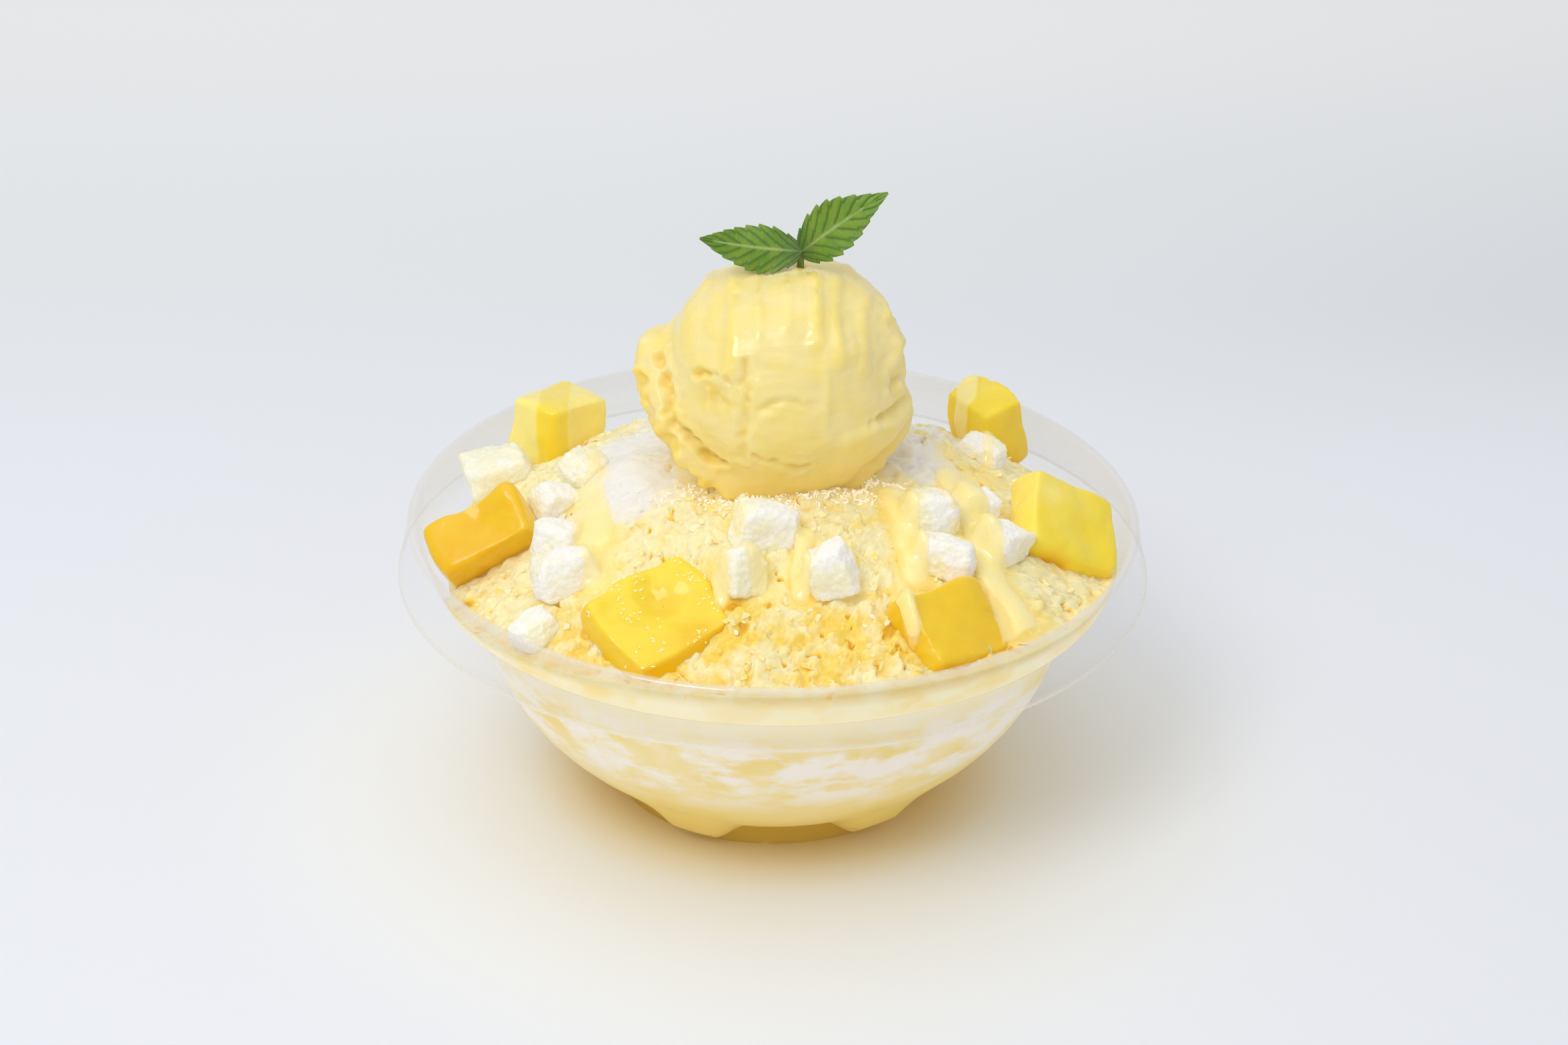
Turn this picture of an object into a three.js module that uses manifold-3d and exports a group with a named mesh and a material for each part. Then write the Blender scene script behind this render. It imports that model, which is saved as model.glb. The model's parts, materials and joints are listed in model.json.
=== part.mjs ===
// A mango shaved ice dessert in its clear plastic bowl.
// Millimetres, +Z up. The origin is on the table, under the middle of the bowl;
// the side that is served to the guest faces -Y.
import * as THREE from "three";
import { mergeVertices } from "three/addons/utils/BufferGeometryUtils.js";
import Module from "manifold-3d";

const wasm = await Module();
wasm.setup();

// The bowl's round body: a superellipse that hangs down from the ledge.
const BODY_RADIUS = 76.6;
const BODY_TOP = 66;
const BODY_DEPTH = 68.5;
const BODY_POWER = 2.2;
const BODY_FLOOR = 2.2; // the underside of the flat middle
const BODY_ANGLES = [11, 20, 27, 31, 35, 41, 48, 58, 70, 86]; // degrees up from the middle of the floor
const WALL = 0.8;

// What the bowl stands on: a thin ring with six hollow feet moulded over it.
const RING_RADIUS = 40.8;
const FEET = 6;
const FOOT_TURN = 6; // degrees from +X to the first foot
const FOOT_CREST_ANGLE = 5; // half of the part that is fully a foot, then half of the whole foot
const FOOT_HALF_ANGLE = 17;
const FOOT_RADII = [23, 33, 36, 55]; // parts from the body, is down, leaves the table, rejoins the body
const FOOT_CLEARANCE = 0.25;
const FOOT_BULGE = 2;

// The ledge, the flared wall above it, the rim and the skirt that hangs from the rim.
const LEDGE_HEIGHT = 61;
const LEDGE_RADIUS = 85.4;
const LEDGE_ROUND = 0.6;
const NECK_RADIUS = 90;
const NECK_HEIGHT = 72.6;
const RIM_HEIGHT = 74.1;
const RIM_RADIUS = 92.5;
const RIM_ROUND = 0.8;
const SKIRT_GAP = 1.5; // between the wall and the top of the skirt
const SKIRT_RADIUS = 94.9;
const SKIRT_HEIGHT = 59.1;

// The ice: it fills the body, stands off its upper wall, and heaps up towards the front.
const GAP = 0.35; // air between any two pieces
const ICE_RADIUS = 73;
const ICE_EDGE = { front: 70.5, right: 64, back: 58.5, left: 59 };
const HEAP_TOP = 90.5;
const HEAP_PLATEAU = 10;
const HEAP_REACH = 84;
const HEAP_POWER = 1.8;
const ICE_RINGS = 18;
const ICE_RING_STEP = 5.1;
const ICE_SWAY = 0.25; // how far the surface's points stray, in ring steps
const ICE_GRAIN = 2.1;
const ICE_GRAIN_SIZE = 7;
const BLOCK_FOOT = -5; // the heap's block starts below the bowl and is cut to its room
const MOUNDS = [
  // loose ice that lies higher than the rest: place, height, radius
  { x: -37, y: -8, rise: 5, radius: 15 },
  { x: 37, y: 14, rise: 4, radius: 13 },
  { x: -72, y: 24, rise: 5, radius: 15 },
];

// The ball of mango ice cream and the torn collar that the scoop leaves round it.
const SCOOP_CENTRE = new THREE.Vector3(2.3, 0, 110);
const SCOOP_RADIUS = 30;
const SCOOP_LUMPS = 0.8;
const SHOULDER = { rise: 2, latitude: 48, spread: 22 }; // fuller than a ball round the top
const SEAT = { depth: 2.4, spread: 0.3 }; // the hollow in the top where the leaves sit
const COLLAR_LATITUDE = { front: -57, right: -20, back: -37, left: 14 };
const COLLAR_REACH = { front: 3.5, right: 3, back: 3.5, left: 8 };
const COLLAR_SPREAD = { above: 6, below: 18 }; // degrees of latitude

// The mint sprig: two leaves on one short stem.
const STEM_FOOT = new THREE.Vector3(5.6, 5, 131);
const STEM_TOP = new THREE.Vector3(5.8, 3.6, 142.8);
const STEM_RADIUS = 1;
const LEAF_THICKNESS = 0.7;
const LEAF_TEETH = 8;
const LEAF_NOTCH = 0.86; // width between two teeth, as a share of the width at a tooth
const LEAF_FULLEST = 0.65; // under 1 puts the widest place nearer to the base
const LEAF_COLUMNS = 4;
const LEAVES = [
  {
    base: new THREE.Vector3(6.2, 3.2, 143.3),
    tip: new THREE.Vector3(-18.8, -3, 149),
    across: new THREE.Vector3(0.2, 0.75, 0.75), // from one edge towards the other
    width: 12.5,
    arch: 1.4, // lift of the midrib's middle
    fold: 1, // lift of both edges
    waves: 0.5,
  },
  {
    base: new THREE.Vector3(5.4, 3.8, 142.4),
    tip: new THREE.Vector3(26.6, 0, 160.4),
    across: new THREE.Vector3(-0.6, 0.55, 0.6),
    width: 14,
    arch: 1.8,
    fold: 1.2,
    waves: 0.6,
  },
];

const AZIMUTH_STEPS = 60;
const SCOOP_STEPS = 36;
const SCOOP_ROWS = 22;

// Mango cubes: middle, turn in degrees and size; power is how square the cube is and dimple how
// far its top sinks in.
const MANGO = [
  {
    name: "front_left",
    at: [-26.5, -62.5, 74.5],
    turn: [16, 20, -51],
    size: [28, 31, 11],
    power: 5,
    dimple: 1.6,
  },
  {
    name: "left",
    at: [-71.5, -19.5, 74.5],
    turn: [32, 29, -61],
    size: [15, 26, 14],
    power: 8,
    dimple: 0.8,
  },
  {
    name: "right",
    at: [72, -12, 76],
    turn: [41, 31, 21],
    size: [28, 23, 11],
    power: 7,
    dimple: 0,
  },
  {
    name: "front_right",
    at: [42, -61, 73.5],
    turn: [-9, 39, -55],
    size: [21, 25, 11],
    power: 8,
    dimple: 0.4,
  },
  {
    name: "back_left",
    at: [-57.5, 46.5, 72.8],
    turn: [-10, 1, -35],
    size: [15, 24, 19],
    power: 8,
    dimple: 0,
  },
  {
    name: "back_right",
    at: [56, 47.5, 76],
    turn: [11, 2, -57],
    size: [20, 13, 20],
    power: 6,
    dimple: 0.5,
  },
];

// Powdered rice cakes: where each lies on the ice, its turn in degrees and its size.
const MOCHI = [
  { at: [-72, 23], turn: [8, -14, 20], size: [18, 15, 12] },
  { at: [-55, -10.5], turn: [10, 20, 35], size: [11, 10, 10] },
  { at: [-53.5, -28.5], turn: [-15, 10, -20], size: [11, 10, 10] },
  { at: [-48, 1.5], turn: [20, 5, 60], size: [11, 10, 9] },
  { at: [-50, -43], turn: [-12, -8, 15], size: [17, 11, 12] },
  { at: [-56, -57.5], turn: [5, -10, 40], size: [12, 9, 8] },
  { at: [-2.5, -39.5], turn: [-10, 15, 10], size: [17, 11, 12] },
  { at: [-7.5, -54.5], turn: [-20, 12, 30], size: [11, 11, 13] },
  { at: [14.5, -54], turn: [-25, 5, 80], size: [14, 12, 14] },
  { at: [38.5, -28], turn: [-10, -10, 10], size: [13, 11, 13] },
  { at: [41.5, -41], turn: [-18, 8, -12], size: [15, 11, 10] },
  { at: [55.8, -29], turn: [12, 18, 50], size: [14, 11, 11] },
  { at: [53.5, 23], turn: [0, 12, -30], size: [13, 10, 9] },
  { at: [49.5, -17], turn: [6, 10, 25], size: [12, 10, 9] },
];

const COLOURS = {
  bowl: 0xf2f2ee,
  ice: 0xf7edc4,
  scoop: 0xf3e594,
  mint: 0x4f8a24,
  mango: 0xf2bd12,
  mochi: 0xf4f0e4,
};

const MOCHI_POWER = 4.5;
const MOCHI_SUNK = 0.22; // how far its middle stands above the ice, as a share of its height

const radians = THREE.MathUtils.degToRad;
const smooth = THREE.MathUtils.smoothstep;

// Blends a value given for four sides smoothly round the compass, by the azimuth from +X.
function round({ front, right, back, left }, azimuth) {
  const turn = radians(azimuth);
  const mean = (front + right + back + left) / 4;
  const sides = ((right - left) / 2) * Math.cos(turn);
  const ends = ((back - front) / 2) * Math.sin(turn);
  const swell = (right + left - front - back) / 4;
  return mean + sides + ends + swell * Math.cos(2 * turn);
}

// --- repeatable noise -------------------------------------------------------

// A number from 0 to 1 that depends only on a whole-number lattice point.
function latticeValue(x, y, z) {
  let hash = Math.imul(x, 374761393) ^ Math.imul(y, 668265263) ^ Math.imul(z, 2147483647);
  hash = Math.imul(hash ^ (hash >>> 13), 1274126177);
  return ((hash ^ (hash >>> 16)) >>> 0) / 4294967295;
}

// Smooth noise from -1 to 1 with about one lump per unit.
function noise(x, y, z) {
  const cell = [Math.floor(x), Math.floor(y), Math.floor(z)];
  const part = [x - cell[0], y - cell[1], z - cell[2]].map((t) => t * t * (3 - 2 * t));
  let sum = 0;
  for (let corner = 0; corner < 8; corner++) {
    const step = [corner & 1, (corner >> 1) & 1, (corner >> 2) & 1];
    let weight = 1;
    for (let axis = 0; axis < 3; axis++) weight *= step[axis] ? part[axis] : 1 - part[axis];
    sum += weight * latticeValue(cell[0] + step[0], cell[1] + step[1], cell[2] + step[2]);
  }
  return 2 * sum - 1;
}

// --- closed meshes ----------------------------------------------------------

function meshOf(points, faces) {
  const geometry = new THREE.BufferGeometry();
  geometry.setAttribute("position", new THREE.Float32BufferAttribute(points.flat(), 3));
  geometry.setIndex(faces.flat());
  return geometry;
}

// Turns an outline round the Z axis. The outline starts and ends on the axis, runs with the
// material on its left, and may change with the azimuth, given in degrees.
function turned(outlineAt, steps) {
  const outlines = [];
  for (let step = 0; step < steps; step++) outlines.push(outlineAt((360 * step) / steps));
  const last = outlines[0].length - 1;
  const points = [[0, 0, outlines[0][0][1]], [0, 0, outlines[0][last][1]]];
  outlines.forEach((outline, step) => {
    const angle = (2 * Math.PI * step) / steps;
    for (let row = 1; row < last; row++) {
      const [radius, height] = outline[row];
      points.push([radius * Math.cos(angle), radius * Math.sin(angle), height]);
    }
  });
  const index = (step, row) => {
    if (row === 0) return 0;
    if (row === last) return 1;
    return 2 + (step % steps) * (last - 1) + row - 1;
  };
  const span = (a, b) => Math.hypot(...points[a].map((value, axis) => value - points[b][axis]));
  const faces = [];
  for (let step = 0; step < steps; step++) {
    faces.push([0, index(step + 1, 1), index(step, 1)]);
    faces.push([index(step, last - 1), index(step + 1, last - 1), 1]);
    for (let row = 1; row < last - 1; row++) {
      const [a, b] = [index(step, row), index(step + 1, row)];
      const [c, d] = [index(step + 1, row + 1), index(step, row + 1)];
      // The shorter diagonal, so that two walls a gap apart fold the same way.
      if (span(a, c) < span(b, d)) faces.push([a, b, c], [a, c, d]);
      else faces.push([a, b, d], [b, c, d]);
    }
  }
  return meshOf(points, faces);
}

function solidOf(geometry) {
  const bare = geometry.clone();
  bare.deleteAttribute("normal");
  bare.deleteAttribute("uv");
  const merged = mergeVertices(bare, 1e-4);
  const mesh = new wasm.Mesh({
    numProp: 3,
    vertProperties: merged.attributes.position.array,
    triVerts: new Uint32Array(merged.index.array),
  });
  return new wasm.Manifold(mesh);
}

function geometryOf(solid) {
  const mesh = solid.getMesh();
  const geometry = new THREE.BufferGeometry();
  geometry.setAttribute("position", new THREE.Float32BufferAttribute(mesh.vertProperties, 3));
  geometry.setIndex(Array.from(mesh.triVerts));
  return geometry;
}

// --- the bowl ---------------------------------------------------------------

// A point of the body's curve, moved inwards by inset.
function bodyPoint(degrees, inset) {
  const angle = radians(degrees);
  const radius = (BODY_RADIUS - inset) * Math.sin(angle) ** (2 / BODY_POWER);
  const height = BODY_TOP - (BODY_DEPTH - inset) * Math.cos(angle) ** (2 / BODY_POWER);
  return [radius, Math.max(height, BODY_FLOOR + inset)];
}

// How much of a foot there is at this azimuth, from 0 to 1.
function footShare(azimuth) {
  const pitch = 360 / FEET;
  const offset = THREE.MathUtils.euclideanModulo(azimuth - FOOT_TURN + pitch / 2, pitch) - pitch / 2;
  return 1 - smooth(Math.abs(offset), FOOT_CREST_ANGLE, FOOT_HALF_ANGLE);
}

// The body's curve, moved inwards by inset and pushed down and out into the feet.
function bodyCurve(inset, azimuth) {
  const [parts, down, lifts, joins] = FOOT_RADII;
  return BODY_ANGLES.map((degrees) => {
    const [place] = bodyPoint(degrees, 0);
    const [radius, height] = bodyPoint(degrees, inset);
    const share = footShare(azimuth) * smooth(place, parts, down) * (1 - smooth(place, lifts, joins));
    const bulge = FOOT_BULGE * smooth(place, RING_RADIUS - 1, RING_RADIUS + 4);
    return [radius + share * bulge, height - share * (height - FOOT_CLEARANCE - inset)];
  });
}

function bowlOutline(azimuth) {
  const under = bodyCurve(0, azimuth);
  const inside = bodyCurve(WALL, azimuth).reverse();
  const ringFoot = under.findIndex(([radius]) => radius > RING_RADIUS);
  const ring = [
    [RING_RADIUS - WALL, 0],
    [RING_RADIUS, 0],
  ];
  return [
    [0, BODY_FLOOR],
    ...under.slice(0, ringFoot),
    ...ring,
    ...under.slice(ringFoot),
    [LEDGE_RADIUS, LEDGE_HEIGHT - LEDGE_ROUND],
    [LEDGE_RADIUS + WALL, LEDGE_HEIGHT + LEDGE_ROUND],
    [NECK_RADIUS, NECK_HEIGHT],
    [NECK_RADIUS + SKIRT_GAP, NECK_HEIGHT],
    [SKIRT_RADIUS - WALL, SKIRT_HEIGHT],
    [SKIRT_RADIUS, SKIRT_HEIGHT],
    [RIM_RADIUS, RIM_HEIGHT - RIM_ROUND],
    [RIM_RADIUS - RIM_ROUND, RIM_HEIGHT],
    [NECK_RADIUS, RIM_HEIGHT],
    [NECK_RADIUS - WALL, NECK_HEIGHT],
    [LEDGE_RADIUS, LEDGE_HEIGHT + LEDGE_ROUND],
    [BODY_RADIUS, LEDGE_HEIGHT],
    ...inside,
    [0, BODY_FLOOR + WALL],
  ];
}

// --- the ice ----------------------------------------------------------------

// The room that the bowl leaves for its contents, less a gap, open far above the rim.
function roomOutline(azimuth) {
  const inset = WALL + GAP;
  const body = bodyCurve(inset, azimuth).map(([radius, height]) => [Math.min(radius, ICE_RADIUS), height]);
  const lid = HEAP_TOP + 20;
  return [
    [0, BODY_FLOOR + inset],
    ...body,
    [ICE_RADIUS, LEDGE_HEIGHT + inset],
    [LEDGE_RADIUS - GAP, LEDGE_HEIGHT + inset],
    [NECK_RADIUS - inset, NECK_HEIGHT],
    [NECK_RADIUS - inset, lid],
    [0, lid],
  ];
}

// The heap's surface without its grain.
function heapHeight(x, y) {
  const reach = Math.hypot(x, y);
  const edge = round(ICE_EDGE, THREE.MathUtils.radToDeg(Math.atan2(y, x)));
  const slope = THREE.MathUtils.clamp((reach - HEAP_PLATEAU) / (HEAP_REACH - HEAP_PLATEAU), 0, 1);
  let height = edge + (HEAP_TOP - edge) * (1 - slope ** HEAP_POWER);
  for (const mound of MOUNDS) {
    const away = Math.hypot(x - mound.x, y - mound.y) / mound.radius;
    height += mound.rise * Math.exp(-2 * away * away);
  }
  return height;
}

// A point of the heap's surface. It strays from its ring, except in the middle and on the last ring.
function icePoint(ring, step) {
  const sway = ring > 0 && ring < ICE_RINGS ? ICE_SWAY : 0;
  const turn = ring > 0 ? (step + sway * (latticeValue(ring, step, 3) - 0.5)) / (6 * ring) : 0;
  const reach = ICE_RING_STEP * (ring + sway * (latticeValue(ring, step, 7) - 0.5));
  const x = reach * Math.cos(2 * Math.PI * turn);
  const y = reach * Math.sin(2 * Math.PI * turn);
  const lump = noise(x / ICE_GRAIN_SIZE, y / ICE_GRAIN_SIZE, 0.5);
  const grain = latticeValue(ring, step, 11) - 0.5;
  return [x, y, heapHeight(x, y) + ICE_GRAIN * (lump + grain)];
}

// A round block under the heap's surface: rings of 6, 12, 18 ... points round a middle one.
function heapBlock() {
  const points = [icePoint(0, 0)];
  const faces = [];
  const index = (ring, step) => (ring === 0 ? 0 : 1 + 3 * ring * (ring - 1) + (step % (6 * ring)));
  for (let ring = 1; ring <= ICE_RINGS; ring++) {
    for (let step = 0; step < 6 * ring; step++) points.push(icePoint(ring, step));
    for (let sector = 0; sector < 6; sector++) {
      for (let step = 0; step < ring; step++) {
        const outer = sector * ring + step;
        const inner = sector * (ring - 1) + step;
        const [a, b] = [index(ring, outer), index(ring, outer + 1)];
        const [c, d] = [index(ring - 1, inner), index(ring - 1, inner + 1)];
        faces.push([a, b, c]);
        if (step < ring - 1) faces.push([c, b, d]);
      }
    }
  }
  const rimCount = 6 * ICE_RINGS;
  const firstRim = index(ICE_RINGS, 0);
  const firstFoot = points.length;
  for (let step = 0; step < rimCount; step++) {
    const [x, y] = points[firstRim + step];
    points.push([x, y, BLOCK_FOOT]);
  }
  const middle = points.length;
  points.push([0, 0, BLOCK_FOOT]);
  for (let step = 0; step < rimCount; step++) {
    const next = (step + 1) % rimCount;
    faces.push([firstFoot + step, firstFoot + next, firstRim + next]);
    faces.push([firstFoot + step, firstRim + next, firstRim + step]);
    faces.push([firstFoot + next, firstFoot + step, middle]);
  }
  return meshOf(points, faces);
}

// --- the ice cream ----------------------------------------------------------

// How far the ball's surface lies from its middle. The collar is a torn ridge that dips to the
// front and climbs on the left.
function scoopReach(azimuth, latitude, [x, y, z]) {
  const coarse = noise(2.2 * x + 5, 2.2 * y + 5, 2.2 * z);
  const fine = noise(5 * x, 5 * y, 5 * z + 9);
  const lumps = SCOOP_LUMPS * (coarse + 0.5 * fine);
  const shoulder = SHOULDER.rise * Math.exp(-(((latitude - SHOULDER.latitude) / SHOULDER.spread) ** 2));
  const seat = z > 0 ? SEAT.depth * Math.exp(-((Math.hypot(x, y) / SEAT.spread) ** 2)) : 0;
  const above = latitude - round(COLLAR_LATITUDE, azimuth);
  const spread = above > 0 ? COLLAR_SPREAD.above : COLLAR_SPREAD.below;
  const collar = round(COLLAR_REACH, azimuth) * Math.exp(-((above / spread) ** 2));
  return SCOOP_RADIUS + lumps + shoulder - seat + collar;
}

function scoopOutline(azimuth, margin) {
  const outline = [];
  for (let row = 0; row <= SCOOP_ROWS; row++) {
    const latitude = -90 + (180 * row) / SCOOP_ROWS;
    const level = row % SCOOP_ROWS === 0 ? 0 : Math.cos(radians(latitude));
    const z = Math.sin(radians(latitude));
    const way = [level * Math.cos(radians(azimuth)), level * Math.sin(radians(azimuth)), z];
    const reach = scoopReach(azimuth, latitude, way) + margin;
    outline.push([reach * level, reach * z]);
  }
  return outline;
}

function scoopSolid(margin) {
  const ball = turned((azimuth) => scoopOutline(azimuth, margin), SCOOP_STEPS);
  return solidOf(ball).translate(SCOOP_CENTRE.toArray());
}

// --- the mint ---------------------------------------------------------------

// A thin wavy leaf with a toothed edge, between its base and its tip.
function leafSolid({ base, tip, across, width, arch, fold, waves }) {
  const along = tip.clone().sub(base);
  const length = along.length();
  along.normalize();
  const side = across.clone().addScaledVector(along, -across.dot(along)).normalize();
  const up = new THREE.Vector3().crossVectors(along, side).normalize();
  const stations = 2 * LEAF_TEETH;
  const columns = LEAF_COLUMNS;
  const points = [];
  for (const face of [0.5, -0.5]) {
    for (let station = 0; station <= stations; station++) {
      const t = station / stations;
      const tooth = station % 2 === 1;
      const outline = (width / 2) * Math.sin(Math.PI * t ** LEAF_FULLEST);
      const half = LEAF_THICKNESS / 3 + outline * (tooth ? 1 : LEAF_NOTCH);
      for (let column = 0; column <= columns; column++) {
        const u = (2 * column) / columns - 1;
        const lean = tooth ? (0.35 * Math.abs(u)) / stations : 0;
        const wave = waves * Math.abs(u) * Math.sin(11 * t + 2 * u);
        const lift = (arch + fold * u * u + wave) * Math.sin(Math.PI * t);
        const point = base.clone().addScaledVector(along, length * (t + lean));
        point.addScaledVector(side, half * u);
        point.addScaledVector(up, lift + face * LEAF_THICKNESS);
        points.push(point.toArray());
      }
    }
  }
  const row = columns + 1;
  const lower = (stations + 1) * row; // from a point of the upper face to the one below it
  const at = (station, column) => station * row + column;
  const faces = [];
  const quad = (a, b, c, d) => faces.push([a, b, c], [a, c, d]);
  const edge = (a, b) => quad(a, b, lower + b, lower + a);
  for (let station = 0; station < stations; station++) {
    for (let column = 0; column < columns; column++) {
      const [a, b] = [at(station, column), at(station + 1, column)];
      const [c, d] = [at(station + 1, column + 1), at(station, column + 1)];
      quad(a, b, c, d);
      faces.push([lower + c, lower + b, lower + a], [lower + d, lower + c, lower + a]);
    }
    edge(at(station, columns), at(station + 1, columns));
    edge(at(station + 1, 0), at(station, 0));
  }
  for (let column = 0; column < columns; column++) {
    edge(at(0, column), at(0, column + 1));
    edge(at(stations, column + 1), at(stations, column));
  }
  return solidOf(meshOf(points, faces));
}

function stemSolid(margin) {
  const run = STEM_TOP.clone().sub(STEM_FOOT);
  const radius = STEM_RADIUS + margin;
  const stem = new THREE.CylinderGeometry(radius, radius, run.length() + 2 * margin, 8);
  const turn = new THREE.Quaternion().setFromUnitVectors(new THREE.Vector3(0, 1, 0), run.clone().normalize());
  stem.applyQuaternion(turn);
  const middle = STEM_FOOT.clone().lerp(STEM_TOP, 0.5);
  return solidOf(stem).translate(middle.toArray());
}

function sprigSolid() {
  return LEAVES.reduce((sprig, leaf) => sprig.add(leafSolid(leaf)), stemSolid(0));
}

// --- mango and rice cake ----------------------------------------------------

// A rounded block: power sets how square it is, and every point is nudged by noise.
function chunkSolid({ size, turn, power, roughness, dimple, segments, seed }, centre, margin) {
  const block = new THREE.BoxGeometry(2, 2, 2, segments, segments, segments);
  const half = new THREE.Vector3(...size).multiplyScalar(0.5).addScalar(margin);
  const position = block.attributes.position;
  for (let i = 0; i < position.count; i++) {
    const p = new THREE.Vector3().fromBufferAttribute(position, i);
    const norm = (Math.abs(p.x) ** power + Math.abs(p.y) ** power + Math.abs(p.z) ** power) ** (1 / power);
    const nudge = 1 + roughness * noise(1.4 * p.x + seed, 1.4 * p.y - seed, 1.4 * p.z + 2 * seed);
    p.multiplyScalar(nudge / norm);
    if (p.z > 0.6) p.z -= (dimple / size[2]) * 2 * Math.max(0, 1 - Math.hypot(p.x, p.y) / 0.9);
    p.multiply(half);
    position.setXYZ(i, p.x, p.y, p.z);
  }
  const angles = new THREE.Euler(...turn.map(radians), "ZYX");
  block.applyMatrix4(new THREE.Matrix4().makeRotationFromEuler(angles));
  return solidOf(block).translate(centre);
}

const chunks = [];
MANGO.forEach((mango, i) => {
  const form = { ...mango, roughness: 0.05, segments: 3, seed: 3 + i };
  chunks.push({ name: `mango_cube_${mango.name}`, colour: COLOURS.mango, form, centre: mango.at });
});
MOCHI.forEach((mochi, i) => {
  const form = { ...mochi, power: MOCHI_POWER, roughness: 0.14, dimple: 0, segments: 2, seed: 20 + 1.7 * i };
  const [x, y] = mochi.at;
  const centre = [x, y, heapHeight(x, y) + MOCHI_SUNK * mochi.size[2]];
  chunks.push({ name: `mochi_${i + 1}`, colour: COLOURS.mochi, form, centre });
});

// --- the dessert ------------------------------------------------------------

const dessert = new THREE.Group();

function addPiece(name, geometry, colour, roughness) {
  const material = new THREE.MeshStandardMaterial({ color: colour, roughness, metalness: 0 });
  const mesh = new THREE.Mesh(geometry, material);
  mesh.name = name;
  dessert.add(mesh);
}

const sprig = sprigSolid();
const scoop = scoopSolid(0).subtract(stemSolid(GAP));
let ice = solidOf(heapBlock()).intersect(solidOf(turned(roomOutline, AZIMUTH_STEPS)));
ice = ice.subtract(scoopSolid(GAP));
for (const chunk of chunks) ice = ice.subtract(chunkSolid(chunk.form, chunk.centre, GAP));

addPiece("bowl", turned(bowlOutline, AZIMUTH_STEPS), COLOURS.bowl, 0.1);
addPiece("shaved_ice", geometryOf(ice), COLOURS.ice, 0.6);
addPiece("ice_cream_scoop", geometryOf(scoop), COLOURS.scoop, 0.5);
addPiece("mint_sprig", geometryOf(sprig), COLOURS.mint, 0.5);
for (const chunk of chunks) {
  addPiece(chunk.name, geometryOf(chunkSolid(chunk.form, chunk.centre, 0)), chunk.colour, 0.35);
}

export default dessert;
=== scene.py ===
"""Mango shaved ice in a clear plastic bowl: the looks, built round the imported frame."""
import contextlib
import json
import math

import bpy
import numpy as np
from bpy.props import FloatProperty, FloatVectorProperty, IntProperty, PointerProperty
from mathutils import Matrix, Vector
from mathutils.bvhtree import BVHTree

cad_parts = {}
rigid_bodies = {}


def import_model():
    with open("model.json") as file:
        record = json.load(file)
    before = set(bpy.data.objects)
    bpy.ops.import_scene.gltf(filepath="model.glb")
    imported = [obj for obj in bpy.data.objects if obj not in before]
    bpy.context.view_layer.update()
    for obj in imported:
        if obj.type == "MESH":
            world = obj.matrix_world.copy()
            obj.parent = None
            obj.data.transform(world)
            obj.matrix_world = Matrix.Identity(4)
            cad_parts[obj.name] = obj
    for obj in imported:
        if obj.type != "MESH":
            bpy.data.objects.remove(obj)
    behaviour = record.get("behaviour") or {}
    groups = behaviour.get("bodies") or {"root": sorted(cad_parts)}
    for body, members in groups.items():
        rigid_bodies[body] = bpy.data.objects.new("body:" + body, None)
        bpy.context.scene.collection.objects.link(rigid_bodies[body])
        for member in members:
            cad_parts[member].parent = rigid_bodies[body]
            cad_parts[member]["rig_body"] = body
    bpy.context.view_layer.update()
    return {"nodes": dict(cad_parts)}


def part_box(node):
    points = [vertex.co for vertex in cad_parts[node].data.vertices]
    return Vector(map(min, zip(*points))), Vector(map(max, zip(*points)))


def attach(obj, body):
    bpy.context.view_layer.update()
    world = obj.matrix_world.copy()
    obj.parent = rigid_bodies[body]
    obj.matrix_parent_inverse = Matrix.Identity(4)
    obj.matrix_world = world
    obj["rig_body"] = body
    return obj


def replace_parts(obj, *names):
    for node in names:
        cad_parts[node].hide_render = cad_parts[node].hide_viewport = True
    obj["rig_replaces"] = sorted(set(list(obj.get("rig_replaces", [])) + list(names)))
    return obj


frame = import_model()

bl_info = {
    "name": "Mango Shaved Ice",
    "version": (1, 0, 0),
    "blender": (4, 5, 0),
    "location": "View3D > Sidebar > Dessert",
    "description": "Dresses the packed shaved ice dessert with ice, sauce, fruit and a clear bowl",
    "category": "Object",
}

MM = 0.001  # shapes are worked out in millimetres; meshes are in metres
BODY = "root"
WELD = 0.01  # points of a CAD mesh closer than this are one point
DROP_HEIGHT = 250  # drops that look for a surface fall from here, above everything


# --- meshes -----------------------------------------------------------------


def activate(piece):
    """Makes a piece the only selected object."""
    bpy.ops.object.select_all(action="DESELECT")
    piece.select_set(True)
    bpy.context.view_layer.objects.active = piece


@contextlib.contextmanager
def editing(piece, select="SELECT"):
    """Edit mode on one piece, with all of it selected, none of it, or for None what already is."""
    activate(piece)
    bpy.ops.object.mode_set(mode="EDIT")
    if select:
        bpy.ops.mesh.select_all(action=select)
    yield
    bpy.ops.object.mode_set(mode="OBJECT")


def primitive(kind, name, **settings):
    """Adds one of Blender's basic meshes as a piece with a name."""
    bpy.ops.object.select_all(action="DESELECT")
    getattr(bpy.ops.mesh, f"primitive_{kind}_add")(**settings)
    piece = bpy.context.object
    piece.name = piece.data.name = name
    return piece


def flat_grid(name, size, columns, rows):
    """A flat grid of cells on a square of a size in metres."""
    return primitive("grid", name, x_subdivisions=columns, y_subdivisions=rows, size=size)


def points_of(piece):
    """A piece's points in millimetres, as an array."""
    flat = np.empty(len(piece.data.vertices) * 3)
    piece.data.vertices.foreach_get("co", flat)
    return flat.reshape(-1, 3) / MM


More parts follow.
